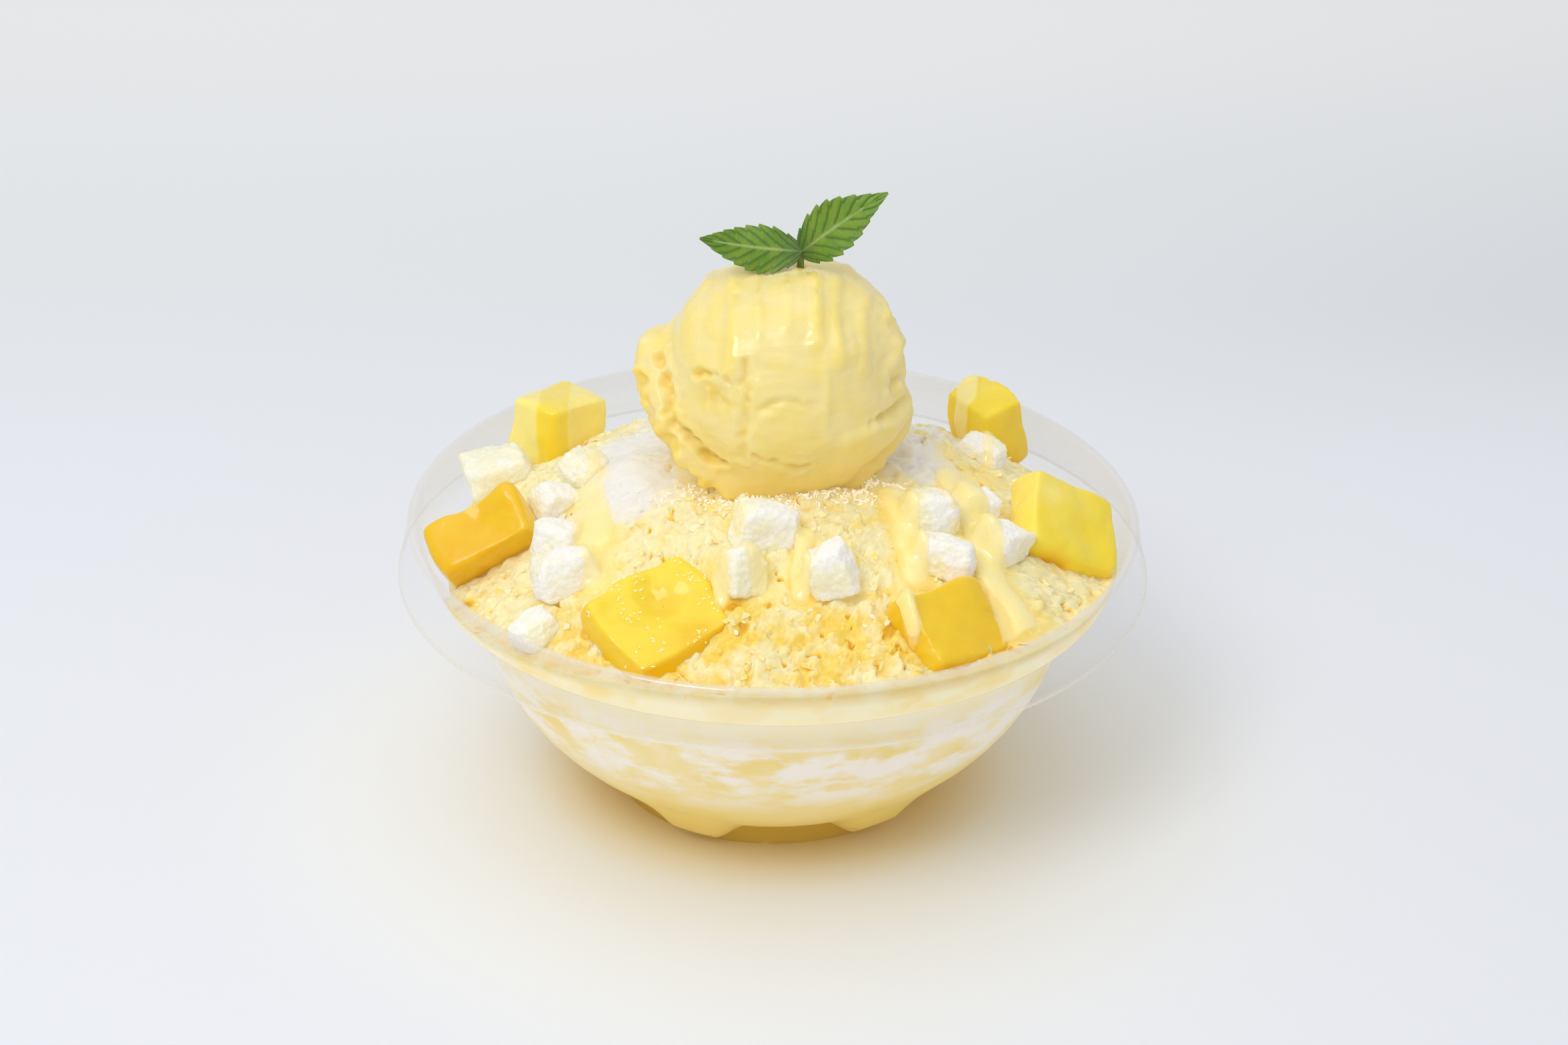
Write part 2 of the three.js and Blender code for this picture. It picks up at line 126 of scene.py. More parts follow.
def normals_of(piece):
    """A piece's point normals, as an array."""
    flat = np.empty(len(piece.data.vertices) * 3, np.float32)
    piece.data.vertex_normals.foreach_get("vector", flat)
    return flat.reshape(-1, 3).astype(float)


def move_points(piece, points):
    """Puts a piece's points where the array says, in millimetres."""
    piece.data.vertices.foreach_set("co", (points * MM).astype(np.float32).ravel())
    piece.data.update()


def paint(piece, **layers):
    """Stores numbers on a piece's points, one array or one number a name that the materials read."""
    count = len(piece.data.vertices)
    for name, values in layers.items():
        layer = piece.data.attributes.new(name, "FLOAT", "POINT")
        layer.data.foreach_set("value", np.broadcast_to(values, count).astype(np.float32))


def modify(piece, kind, **settings):
    """Adds a modifier to a piece and applies it."""
    activate(piece)
    modifier = piece.modifiers.new(kind.title(), kind)
    for name, value in settings.items():
        setattr(modifier, name, value)
    bpy.ops.object.modifier_apply(modifier=modifier.name)


def merged_copy(node, name):
    """A new piece with a CAD node's mesh, its doubles merged and its triangles paired to quads."""
    piece = bpy.data.objects.new(name, frame["nodes"][node].data.copy())
    piece.data.name = name
    piece.data.materials.clear()
    bpy.context.scene.collection.objects.link(piece)
    with editing(piece):
        bpy.ops.mesh.remove_doubles(threshold=WELD * MM)
        bpy.ops.mesh.tris_convert_to_quads()
        bpy.ops.mesh.customdata_custom_splitnormals_clear()
    return piece


def mesh_piece(name, points, faces):
    """A new piece from points in millimetres and faces."""
    mesh = bpy.data.meshes.new(name)
    mesh.from_pydata((np.asarray(points) * MM).tolist(), [], np.asarray(faces).tolist())
    mesh.update()
    piece = bpy.data.objects.new(name, mesh)
    bpy.context.scene.collection.objects.link(piece)
    return piece


def delete_points(piece, unwanted):
    """Deletes the points that the array marks, with their faces."""
    with editing(piece, "DESELECT"):
        pass
    piece.data.vertices.foreach_set("select", unwanted)
    with editing(piece, None):
        bpy.ops.mesh.delete(type="VERT")


def repeated(name, copies, faces):
    """One piece of many copies of a small shape, each given by its points."""
    count = len(copies[0])
    all_faces = np.concatenate([np.asarray(faces) + count * i for i in range(len(copies))])
    return mesh_piece(name, np.concatenate(copies), all_faces)


def finish_piece(piece, material, nodes=(), angle=None):
    """Gives a piece its material, its place in the table and smooth shading."""
    piece.data.materials.clear()
    piece.data.materials.append(material)
    activate(piece)
    if angle is None:
        bpy.ops.object.shade_smooth()
    else:
        bpy.ops.object.shade_smooth_by_angle(angle=math.radians(angle))
    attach(piece, BODY)
    if nodes:
        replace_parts(piece, *nodes)


def surface(pieces):
    """A search tree over the surfaces of several pieces, in metres."""
    points, faces, start = [], [], 0
    for piece in pieces:
        points.extend(v.co.copy() for v in piece.data.vertices)
        faces.extend([start + i for i in p.vertices] for p in piece.data.polygons)
        start = len(points)
    return BVHTree.FromPolygons(points, faces)


def fall(tree, x, y):
    """Where a drop that falls at x, y lands and the surface's normal there, in millimetres."""
    place, normal, _, _ = tree.ray_cast(Vector((x, y, DROP_HEIGHT)) * MM, Vector((0, 0, -1)))
    return (None, None) if place is None else (np.array(place) / MM, np.array(normal))


# --- noise ------------------------------------------------------------------


def smooth(values, low, high):
    """A soft step from 0 at low to 1 at high."""
    t = np.clip((values - low) / (high - low), 0, 1)
    return t * t * (3 - 2 * t)


def hashed(cells, seed=0):
    """A repeatable random number from 0 to 1 for each cell of a grid."""
    primes = np.array([374761393, 668265263, 1442695041])[: cells.shape[1]]
    key = cells @ primes + seed * 974634777
    key = (key ^ key >> 13) * 1274126177
    return ((key ^ key >> 16) & 0xFFFF) / 0xFFFF


def noise(points, size, seed=0):
    """Smooth repeatable noise from -1 to 1, one number a point, with lumps of the given size."""
    scaled = points / size + 17.3 * seed
    cell = np.floor(scaled).astype(np.int64)
    part = scaled - cell
    part = part * part * (3 - 2 * part)
    total = np.zeros(len(points))
    for corner in range(8):
        step = np.array([corner & 1, corner >> 1 & 1, corner >> 2 & 1])
        total += np.prod(np.where(step, part, 1 - part), axis=1) * hashed(cell + step)
    return 2 * total - 1


def shards(points, size, seed):
    """Flat tilted flakes packed side by side: their height, about -1 to 1, and a number for each."""
    flat = points[:, :2] / size
    cell = np.floor(flat).astype(np.int64)
    nearest = np.full(len(flat), np.inf)
    height, tone = np.zeros(len(flat)), np.zeros(len(flat))
    for step in ((x, y) for x in (-1, 0, 1) for y in (-1, 0, 1)):
        near = cell + step
        draws = [hashed(near, seed + i) for i in range(5)]
        offset = flat - near - np.stack(draws[:2], axis=1)
        distance = (offset**2).sum(axis=1)
        tilt = 2 * np.stack(draws[2:4], axis=1) - 1
        closer = distance < nearest
        nearest = np.where(closer, distance, nearest)
        height = np.where(closer, draws[4] - 0.5 + (offset * tilt).sum(axis=1), height)
        tone = np.where(closer, draws[4], tone)
    return height, tone


def unit(vector):
    """A vector of length one."""
    return vector / np.linalg.norm(vector)


def warped(points, size, amount, seed):
    """The points, each pushed aside by noise, which makes any pattern read from them irregular."""
    shift = [noise(points, size, seed + axis) for axis in range(3)]
    return points + amount * np.stack(shift, axis=1)


def along(places, step):
    """Points a step apart on a smooth line through the places."""
    places = np.array(places, float)
    ends = np.vstack([2 * places[0] - places[1], places, 2 * places[-1] - places[-2]])
    line = []
    for a, b, c, d in zip(ends, ends[1:], ends[2:], ends[3:]):
        count = max(2, int(np.linalg.norm(c - b) / step))
        for t in np.arange(count) / count:
            curve = 2 * b + (c - a) * t + (2 * a - 5 * b + 4 * c - d) * t**2
            line.append((curve + (3 * b - a - 3 * c + d) * t**3) / 2)
    return np.array(line + [places[-1]])


def swelling(points, place, radius, power=1):
    """A round swelling, 1 at its place and close to 0 beyond its radius; more power flattens its top."""
    return np.exp(-(((points - np.array(place)) ** 2).sum(axis=1) / radius**2) ** power)


def distance_to(points, line):
    """How far each point is from the nearest of the points on a line."""
    nearest = np.full(len(points), np.inf)
    for place in line:
        nearest = np.minimum(nearest, ((points - place) ** 2).sum(axis=1))
    return np.sqrt(nearest)


# --- materials --------------------------------------------------------------


def srgb(red, green, blue):
    """A colour given as 0 to 255 on a screen, in linear light."""
    return tuple(((c / 255 + 0.055) / 1.055) ** 2.4 if c > 10 else c / 3295 for c in (red, green, blue))


class Value:
    """A shader socket that takes part in sums. Every sum adds a Math node."""

    def __init__(self, shader, socket):
        self.shader = shader
        self.socket = socket

    def _math(self, operation, first, second=0.5, clamp=False):
        settings = {"operation": operation, "use_clamp": clamp}
        return self.shader.node("ShaderNodeMath", settings, {0: first, 1: second}).value(0)

    def __add__(self, other):
        return self._math("ADD", self, other)

    def __sub__(self, other):
        return self._math("SUBTRACT", self, other)

    def __rsub__(self, other):
        return self._math("SUBTRACT", other, self)

    def __mul__(self, other):
        return self._math("MULTIPLY", self, other)

    __radd__ = __add__
    __rmul__ = __mul__

    def clamped(self):
        """The value, kept from 0 to 1."""
        return self._math("ADD", self, 0.0, clamp=True)

    def sine(self):
        """The sine of the value."""
        return self._math("SINE", self)

    def step(self, low, high):
        """A soft step from 0 at low to 1 at high."""
        settings = {"interpolation_type": "SMOOTHSTEP"}
        sockets = {"Value": self, "From Min": low, "From Max": high}
        return self.shader.node("ShaderNodeMapRange", settings, sockets).value("Result")


class Made:
    """A shader node that has just been added."""

    def __init__(self, shader, node):
        self.shader = shader
        self.node = node

    def value(self, name):
        """One of the node's outputs, ready for sums and links."""
        return Value(self.shader, self.node.outputs[name])


class Shader:
    """A material under construction."""

    def __init__(self, name):
        self.material = bpy.data.materials.new(name)
        self.material.use_nodes = True
        self.tree = self.material.node_tree
        self.tree.nodes.clear()
        self.place = self.node("ShaderNodeTexCoord").value("Object")

    def node(self, kind, settings=None, sockets=None):
        """Adds a node: its settings first, then the values or links of its sockets."""
        node = self.tree.nodes.new(kind)
        for name, value in (settings or {}).items():
            setattr(node, name, value)
        for name, value in (sockets or {}).items():
            if isinstance(value, Value):
                self.tree.links.new(value.socket, node.inputs[name])
            else:
                node.inputs[name].default_value = value
        return Made(self, node)

    def attribute(self, name):
        """A number that paint() stored on the points."""
        return self.node("ShaderNodeAttribute", {"attribute_name": name}).value("Fac")

    def axes(self):
        """The x, y and z of the place, in millimetres."""
        split = self.node("ShaderNodeSeparateXYZ", None, {0: self.place})
        return [split.value(axis) * (1 / MM) for axis in "XYZ"]

    def grain(self, size, detail=2.0, stretch=(1, 1, 1), rough=0.5):
        """Noise from 0 to 1 with lumps of a size in millimetres, stretched along some axes."""
        scale = [1 / (MM * size * s) for s in stretch]
        sockets = {"Vector": self.place, "Scale": scale}
        spot = self.node("ShaderNodeMapping", None, sockets).value(0)
        sockets = {"Vector": spot, "Scale": 1.0, "Detail": detail, "Roughness": rough}
        return self.node("ShaderNodeTexNoise", None, sockets).value("Fac")

    def mix(self, factor, first, second):
        """A colour between two colours."""
        settings = {"data_type": "RGBA"}
        colours = [c if isinstance(c, Value) else (*c, 1.0) for c in (first, second)]
        sockets = {0: factor, 6: colours[0], 7: colours[1]}
        return self.node("ShaderNodeMix", settings, sockets).value(2)

    def bump(self, height, distance, strength=1.0):
        """A normal from a height, with the given rise in millimetres."""
        sockets = {"Height": height, "Distance": distance * MM, "Strength": strength}
        return self.node("ShaderNodeBump", None, sockets).value(0)

    def blend(self, factor, first, second):
        """A Mix Shader between two shaders."""
        return self.node("ShaderNodeMixShader", None, {0: factor, 1: first, 2: second}).value(0)

    def principled(self, **sockets):
        """A Principled shader. Words in a socket's name are joined by underscores."""
        named = {name.replace("_", " "): value for name, value in sockets.items()}
        for name, value in named.items():
            if name.endswith("Color") and not isinstance(value, Value):
                named[name] = (*value, 1.0)
        return self.node("ShaderNodeBsdfPrincipled", None, named).value(0)

    def done(self, shader=None, **sockets):
        """Links a shader, or a Principled one with these sockets, to the output; gives the material."""
        self.node("ShaderNodeOutputMaterial", None, {0: shader or self.principled(**sockets)})
        return self.material


def seeping(weight, radius, scale):
    """Sockets for light that wanders under a surface; the scale is in millimetres."""
    return {"Subsurface_Weight": weight, "Subsurface_Radius": radius, "Subsurface_Scale": scale * MM}


def glowing(tint, strength):
    """Sockets for a faint light of a material's own, which stands for light that comes through it."""
    return {"Emission_Color": tint, "Emission_Strength": strength}


# --- settings ---------------------------------------------------------------


def colour(name, description, *default):
    """A colour property; its default is given as 0 to 255 on a screen."""
    return FloatVectorProperty(
        name=name, description=description, subtype="COLOR", min=0, max=1, default=srgb(*default)
    )


def whole(name, description, default, least=0):
    """A property that is a whole number."""
    return IntProperty(name=name, description=description, default=default, min=least)


def amount(name, description, default, subtype="NONE"):
    """A number property that isn't negative."""
    return FloatProperty(name=name, description=description, default=default, subtype=subtype, min=0)


class BowlSettings(bpy.types.PropertyGroup):
    """The clear bowl."""

    wall: amount("Wall", "Thickness of the plastic in millimetres", 0.5)
    sides: whole("Sides", "Flat strips round the bowl", 288, 60)
    tint: colour("Tint", "Colour of the plastic where it is seen edge on", 250, 248, 245)


class IceSettings(bpy.types.PropertyGroup):
    """The heap of shaved ice."""

    cells: whole("Cells", "Cells across the heap's surface", 262, 60)
    relief: amount("Relief", "How rough the packed ice is", 1.0)
    flakes: whole("Flakes", "Loose flakes on the heap", 260)
    soaked: colour("Soaked", "Ice soaked with mango milk", 246, 211, 92)
    pale: colour("Pale", "Ice that has taken up a little milk", 247, 235, 186)
    dry: colour("Dry", "Ice that no milk has reached", 237, 235, 230)
    # Painted shade as well as syrup: this amber fills the pits, the low hollows and the cubes' feet.
    syrup_and_shade: colour("Syrup", "Mango syrup in the pits", 228, 172, 26)
    milk: colour("Milk", "Mango milk under the ice", 240, 218, 134)
    # A painted glow: the colour the ice's sides emit, for light that comes through the ice.
    painted_glow: colour("Glow", "Light that comes down through the ice", 188, 153, 85)


class SauceSettings(bpy.types.PropertyGroup):
    """The mango cream poured over the top."""

    thickness: amount("Thickness", "How thick the runs are", 1.0)
    cream: colour("Cream", "Mango cream", 251, 231, 144)


class ScoopSettings(bpy.types.PropertyGroup):
    """The ball of ice cream."""

    cell: amount("Cell", "Mesh cell in millimetres", 0.6)
    flesh: colour("Ice cream", "Mango ice cream", 248, 228, 158)
    # This colour is painted shade deep in folds, above the collar and in the crater, and the real wetter
    # colour where the collar melts.
    crevice: colour("Crevice", "Ice cream deep in a crevice", 250, 214, 70)


class FruitSettings(bpy.types.PropertyGroup):
    """Mango cubes and rice cakes."""

    ripe: colour("Ripe", "Deep colour of the mango", 238, 186, 0)
    fresh: colour("Fresh", "Pale colour of the mango", 247, 220, 60)
    rice: colour("Rice cake", "Powdered rice cake", 250, 247, 240)


class MintSettings(bpy.types.PropertyGroup):
    """The mint leaves."""

    leaf: colour("Leaf", "Face of the leaf", 104, 146, 34)
    vein: colour("Vein", "Sunken veins", 62, 100, 26)
    midrib: colour("Midrib", "Pale middle vein", 176, 196, 120)


class StageSettings(bpy.types.PropertyGroup):
    """Floor and light."""

    floor: colour("Floor", "The pale table top", 237, 239, 245)
    # Painted light: the floor close to the dessert is painted a little paler, where the dessert's shadow
    # falls.
    painted_glow: colour("Glow", "The table top close to the dessert", 241, 243, 245)
    # Painted shadow: a warm tan under the bowl stands for its shadow and the yellow light that comes through
    # the dessert.
    pool: colour("Pool", "The table top under the bowl", 234, 219, 178)
    overhead: amount("Overhead", "Power of the light above", 3.9, "POWER")
    key: amount("Key", "Power of the soft light at the left", 5.6, "POWER")
    sky: amount("Surround", "Strength of the white surround", 0.62)


# --- stage ------------------------------------------------------------------

LENS = 85.0
CAMERA_PLACE = Vector((2.636, -833.116, 499.348))
CAMERA_TARGET = Vector((2.636, 0.0, 70.23))
CAMERA_ROLL = 0.01509505
FLOOR_SIZE = 8.0  # metres, as are the places and sizes of the lights
OVERHEAD = ((-0.22, 0.0, 1.3), 1.3)
KEY = ((-0.5, -0.8, 1.15), 0.55)
SURROUND = (0.97, 0.985, 1.0, 1.0)  # its colour in linear light
PAINTED_SHADOW_RADII = (0.13, 0.44)  # squares of the radii, in decimetres, between which the painted warm shadow fades
PAINTED_LIGHT_RADII = (0.7, 2.6)  # the same for the floor painted paler round it, against the dessert's shadow


def add_camera():
    """The camera, a little above the bowl and turned slightly round its own axis."""
    ahead = (CAMERA_TARGET - CAMERA_PLACE).normalized()
    level = ahead.cross(Vector((0, 0, 1))).normalized()
    upright = level.cross(ahead)
    right = level * math.cos(CAMERA_ROLL) + upright * math.sin(CAMERA_ROLL)
    up = upright * math.cos(CAMERA_ROLL) - level * math.sin(CAMERA_ROLL)
    data = bpy.data.cameras.new("camera")
    data.lens = LENS
    camera = bpy.data.objects.new("camera", data)
    turn = Matrix((right, up, -ahead)).transposed().to_4x4()
    camera.matrix_world = Matrix.Translation(CAMERA_PLACE * MM) @ turn
    bpy.context.scene.collection.objects.link(camera)
    bpy.context.scene.camera = camera


def add_light(name, place, size, power):
    """A square light that faces the dessert."""
    data = bpy.data.lights.new(name, "AREA")
    data.size = size
    data.energy = power
    light = bpy.data.objects.new(name, data)
    aim = (CAMERA_TARGET * MM - Vector(place)).to_track_quat("-Z", "Y")
    light.matrix_world = Matrix.Translation(place) @ aim.to_matrix().to_4x4()
    bpy.context.scene.collection.objects.link(light)


class DESSERT_OT_stage(bpy.types.Operator):
    """Adds the floor, the soft light and the camera"""

    bl_idname = "dessert.stage"
    bl_label = "Stage"

    def execute(self, context):
        settings = context.scene.dessert_stage
        floor = primitive("plane", "floor", size=FLOOR_SIZE)
        shader = Shader("floor")
        across, depth, _ = shader.axes()
        # Painted light and shade: the far floor is painted darker towards the right, away from the key light,
        # and paler further back, where the lights fall off.
        far = shader.mix(across.step(-100, 600) * 0.75, srgb(235, 238, 241), srgb(214, 218, 224))
        far = shader.mix(depth.step(250, 650) * 0.85, far, srgb(255, 255, 255))
        base = shader.mix(depth.step(150, 320), settings.floor, far)
        away = (across * across + depth * depth) * 0.0001
        # The floor is painted paler round the dessert to lighten its shadow, and painted a warm shadow tan
        # under the bowl.
        base = shader.mix((1 - away.step(*PAINTED_LIGHT_RADII)) * (1 - depth.step(20, 100)), base, settings.painted_glow)
        base = shader.mix(1 - away.step(*PAINTED_SHADOW_RADII), base, settings.pool)
        floor.data.materials.append(shader.done(Base_Color=base, Roughness=0.55))
        add_light("overhead", *OVERHEAD, settings.overhead)
        add_light("key", *KEY, settings.key)
        world = bpy.data.worlds.new("surround")
        world.use_nodes = True
        background = world.node_tree.nodes["Background"]
        background.inputs["Color"].default_value = SURROUND
        background.inputs["Strength"].default_value = settings.sky
        context.scene.world = world
        context.scene.view_settings.view_transform = "Standard"
        add_camera()
        return {"FINISHED"}


# --- bowl -------------------------------------------------------------------

BODY_RADIUS = 76.6
BODY_TOP = 66.0
BODY_DEPTH = 68.5
BODY_POWER = 2.2
BODY_FLOOR = 2.2
BODY_SPAN = (8.0, 86.0)  # degrees up from the middle of the floor
BODY_ROWS = 34
RING_RADIUS = 40.6
RING_HEIGHT = 6.0
RING_WALL = 0.6
FEET = 6
FOOT_TURN = 6.0
FOOT_ANGLES = (5.0, 17.0)
FOOT_RADII = (23.0, 33.0, 36.0, 55.0)
FOOT_BULGE = 2.0
FOOT_CLEARANCE = 0.55
LEDGE = (85.4, 61.0)  # radius and height, as in the next lines
NECK = (89.9, 72.6)
INNER_BEND = (BODY_RADIUS + 1.4, LEDGE[1] - 1.5)
INNER_BEND_RADIUS = 1.5
OUTER_BEND = (LEDGE[0] - 0.5, LEDGE[1] + 1.3)
OUTER_BEND_RADIUS = 1.3
BEAD = (NECK[0] + 1.15, NECK[1] + 0.25)
BEAD_RADIUS = 1.25
SKIRT = (94.9, 59.1)
SKIRT_LINE = ((92.45, 71.7), (93.9, 63.1), (94.35, 60.3), (94.85, 59.7), SKIRT)
RIM_HEIGHT = 74.1
RIB_PITCH = 1.6
SMOOTH_BELOW = 50  # degrees between faces of the plastic up to which it is shaded smooth


def body_point(degrees, inset):
    """Radius and height of the body's curve, moved inwards by inset or, with a minus, into the wall."""
    angle = np.radians(degrees)
    radius = (BODY_RADIUS - inset) * np.sin(angle) ** (2 / BODY_POWER)
    height = BODY_TOP - (BODY_DEPTH - inset) * np.cos(angle) ** (2 / BODY_POWER)
    return radius, np.maximum(height, BODY_FLOOR + inset)


def foot_shift(azimuth, radius, height, inset):
    """How far the feet push a point of the body out and down."""
    pitch = 360 / FEET
    offset = np.abs((np.degrees(azimuth) - FOOT_TURN + pitch / 2) % pitch - pitch / 2)
    parts, down, lifts, joins = FOOT_RADII
    share = (1 - smooth(offset, *FOOT_ANGLES)) * smooth(radius, parts, down)
    share = share * (1 - smooth(radius, lifts, joins))
    out = share * FOOT_BULGE * smooth(radius, RING_RADIUS - 1, RING_RADIUS + 4)
    return out, share * (height - FOOT_CLEARANCE - inset)


def arc(centre, radius, start, end, steps):
    """Points on an arc in the plane of radius and height, angles in degrees."""
    angles = np.radians(np.linspace(start, end, steps))
    return [(centre[0] + radius * math.cos(a), centre[1] + radius * math.sin(a)) for a in angles]


def inner_bend(outset, start, end, steps):
    """The bend from the body to the ledge, moved into the wall by outset."""
    return arc(INNER_BEND, INNER_BEND_RADIUS - outset, start, end, steps)


def outer_bend(outset, start, end, steps):
    """The bend from the ledge to the neck, moved into the wall by outset."""
    return arc(OUTER_BEND, OUTER_BEND_RADIUS + outset, start, end, steps)


def bowl_profile():
    """The bowl's inner line from the middle of its floor over the rim to the lower edge of the skirt."""
    body = [body_point(a, 0) for a in np.linspace(*BODY_SPAN, BODY_ROWS)]
    ledge = inner_bend(0, 170, 95, 5) + outer_bend(0, -80, -20, 5)
    bead = arc(BEAD, BEAD_RADIUS, 165, 15, 10)
    return [(0, BODY_FLOOR), *body, *ledge, *bead, *SKIRT_LINE]


def clear_plastic(settings):
    """Clear plastic: almost nothing face on, pale grey where it is seen edge on, with fine ribs."""
    shader = Shader("clear_plastic")
    x, y, _ = shader.axes()
    turn = shader.node("ShaderNodeMath", {"operation": "ARCTAN2"}, {0: y, 1: x}).value(0)
    ribs = (turn * (NECK[0] / RIB_PITCH * 2 * math.pi)).sine() * shader.attribute("ribs")
    dents = shader.grain(14, 2.0) * 4.0 + ribs * 0.6
    normal = shader.bump(dents, 0.25, 0.6)
    edge = shader.node("ShaderNodeLayerWeight", None, {"Blend": 0.5, "Normal": normal}).value("Facing")
    grazing = edge * edge * edge * edge
    # The foot ring is painted amber here: painted shade and yellow light, which stand for the shaded dessert
    # and floor seen through it.
    tint = shader.mix(shader.attribute("amber"), settings.tint, srgb(255, 234, 122))
    clear = shader.node("ShaderNodeBsdfTransparent", None, {0: (0.996, 0.996, 0.996, 1.0)}).value(0)
    film = shader.principled(Base_Color=tint, Roughness=0.3, Normal=normal)
    passed = shader.node("ShaderNodeBsdfTranslucent", None, {0: tint}).value(0)
    milky = shader.blend(0.5, film, passed)
    haze = (grazing * 0.05 + shader.attribute("haze") + 0.015).clamped()
    wall = shader.blend(haze, clear, milky)
    sockets = {0: tint, "Roughness": 0.07, "Normal": normal}
    gloss = shader.node("ShaderNodeBsdfGlossy", None, sockets).value(0)
    return shader.done(shader.blend(grazing * edge * 0.25 + 0.035, wall, gloss))


class DESSERT_OT_bowl(bpy.types.Operator):
    """Spins the bowl from its profile, presses its feet and gives it a wall"""

    bl_idname = "dessert.bowl"
    bl_label = "Bowl"

    def execute(self, context):
        settings = context.scene.dessert_bowl
        profile = np.array([(radius, 0, height) for radius, height in bowl_profile()])
        mesh = bpy.data.meshes.new("bowl_shell")
        edges = [(i, i + 1) for i in range(len(profile) - 1)]
        mesh.from_pydata((profile * MM).tolist(), edges, [])
        bowl = bpy.data.objects.new("bowl_shell", mesh)
        context.scene.collection.objects.link(bowl)
        with editing(bowl):
            bpy.ops.mesh.spin(
                steps=settings.sides, angle=2 * math.pi, center=(0, 0, 0), axis=(0, 0, 1), use_auto_merge=True
            )
        with editing(bowl):
            bpy.ops.mesh.remove_doubles(threshold=2 * WELD * MM)
            bpy.ops.mesh.normals_make_consistent(inside=False)
        points = points_of(bowl)
        azimuth = np.arctan2(points[:, 1], points[:, 0])
        radius = np.hypot(points[:, 0], points[:, 1])
        body = (radius < BODY_RADIUS) & (points[:, 2] < LEDGE[1] - 2)
        out, down = foot_shift(azimuth, radius, points[:, 2], 0)
        out, down = out * body, down * body
        points += np.stack([out * np.cos(azimuth), out * np.sin(azimuth), -down], axis=1)
        move_points(bowl, points)
        modify(bowl, "SOLIDIFY", thickness=settings.wall * MM, offset=-1)
        points = points_of(bowl)
        radius = np.hypot(points[:, 0], points[:, 1])
        neck = smooth(points[:, 2], LEDGE[1] + 1, LEDGE[1] + 3) * (radius < NECK[0] + 0.3)
        rim = smooth(points[:, 2], RIM_HEIGHT - 2.0, RIM_HEIGHT - 0.8)
        lip = smooth(radius, SKIRT[0] - 0.45, SKIRT[0] - 0.2)
        # The milky haze on the rim bead and the skirt's lip is partly the thicker plastic and partly a
        # painted highlight for the bright lines along these edges.
        paint(bowl, ribs=neck * (points[:, 2] < NECK[1] - 1), haze=0.2 * rim + 0.5 * lip, amber=0)
        plastic = clear_plastic(settings)
        finish_piece(bowl, plastic, ["bowl"], angle=SMOOTH_BELOW)
        ring = primitive(
            "cylinder", "foot_ring", vertices=settings.sides, radius=RING_RADIUS * MM, depth=RING_HEIGHT * MM,
            end_fill_type="NOTHING", location=(0, 0, RING_HEIGHT / 2 * MM),
        )
        bpy.ops.object.transform_apply(location=True)
        modify(ring, "SOLIDIFY", thickness=RING_WALL * MM, offset=-1)
        # Painted shade: the foot ring is made milky and amber for the shaded, yellow-lit space under the bowl
        # that shows through it.
        paint(ring, ribs=0, haze=0.5, amber=1)
        finish_piece(ring, plastic, angle=SMOOTH_BELOW)
        return {"FINISHED"}


# --- sauce ------------------------------------------------------------------

# Where the cream was poured, as seen from above: half width, thickness, then places.
POURS = (
    (4.0, 1.5, (44.5, -2), (45.5, -10), (48, -18), (50.5, -27), (52, -36), (54, -43), (57, -47), (60, -52),
     (62, -58)),
    (2.3, 1.0, (52.5, -42), (54.5, -51), (56, -58), (57.5, -64)),
    (2.0, 0.8, (60, -48), (65, -50), (68, -49)),
    (3.2, 1.5, (29.5, -19), (30, -23), (31, -28), (32.5, -36), (34, -44), (34.5, -50)),
    (1.9, 1.2, (31, -53), (31.6, -62), (32.5, -66), (34, -69.5)),
    (2.2, 0.8, (41, -22), (44, -30), (46, -36)),
    (1.9, 1.2, (-13, -50), (-12.8, -56), (-11.8, -61)),
    (3.2, 0.9, (-5, -50), (-4, -56), (-1.5, -59)),
    (2.1, 1.6, (8.5, -40), (7, -46), (6.2, -53), (7, -59.5)),
    (1.8, 0.7, (-8, -33), (-8.5, -39), (-8, -44)),
    (3.4, 1.2, (-46, -12), (-45.5, -18), (-44.5, -22)),
    (4.6, 1.4, (-44.5, -23), (-43.5, -28), (-43.5, -32)),
    (3.2, 1.0, (-44, -36), (-43.5, -42), (-42.5, -48)),
    (2.4, 0.8, (-45, 2), (-44.5, -4), (-43, -10)),
    (3.6, 0.7, (43, 6), (47, 3), (52, 4), (56, 8)),
    (1.6, 1.0, (44, 22), (45, 16), (44.5, 8)),
    (1.6, 0.9, (55, 31), (54.8, 24), (54.5, 17)),
    (2.4, 1.0, (-10, 44), (-18, 52), (-22, 62)),
    (2.8, 1.1, (18, 38), (20, 48), (28, 58), (30, 66)),
    (2.2, 1.0, (64, 6), (70, 12), (73, 22)),
    (2.0, 0.8, (-64, 6), (-70, 0)),
    (2.2, 0.9, (4, 40), (0, 52), (4, 64), (2, 72)),
)
RUN_STEP = 0.9  # between the points that stand for a run's middle line


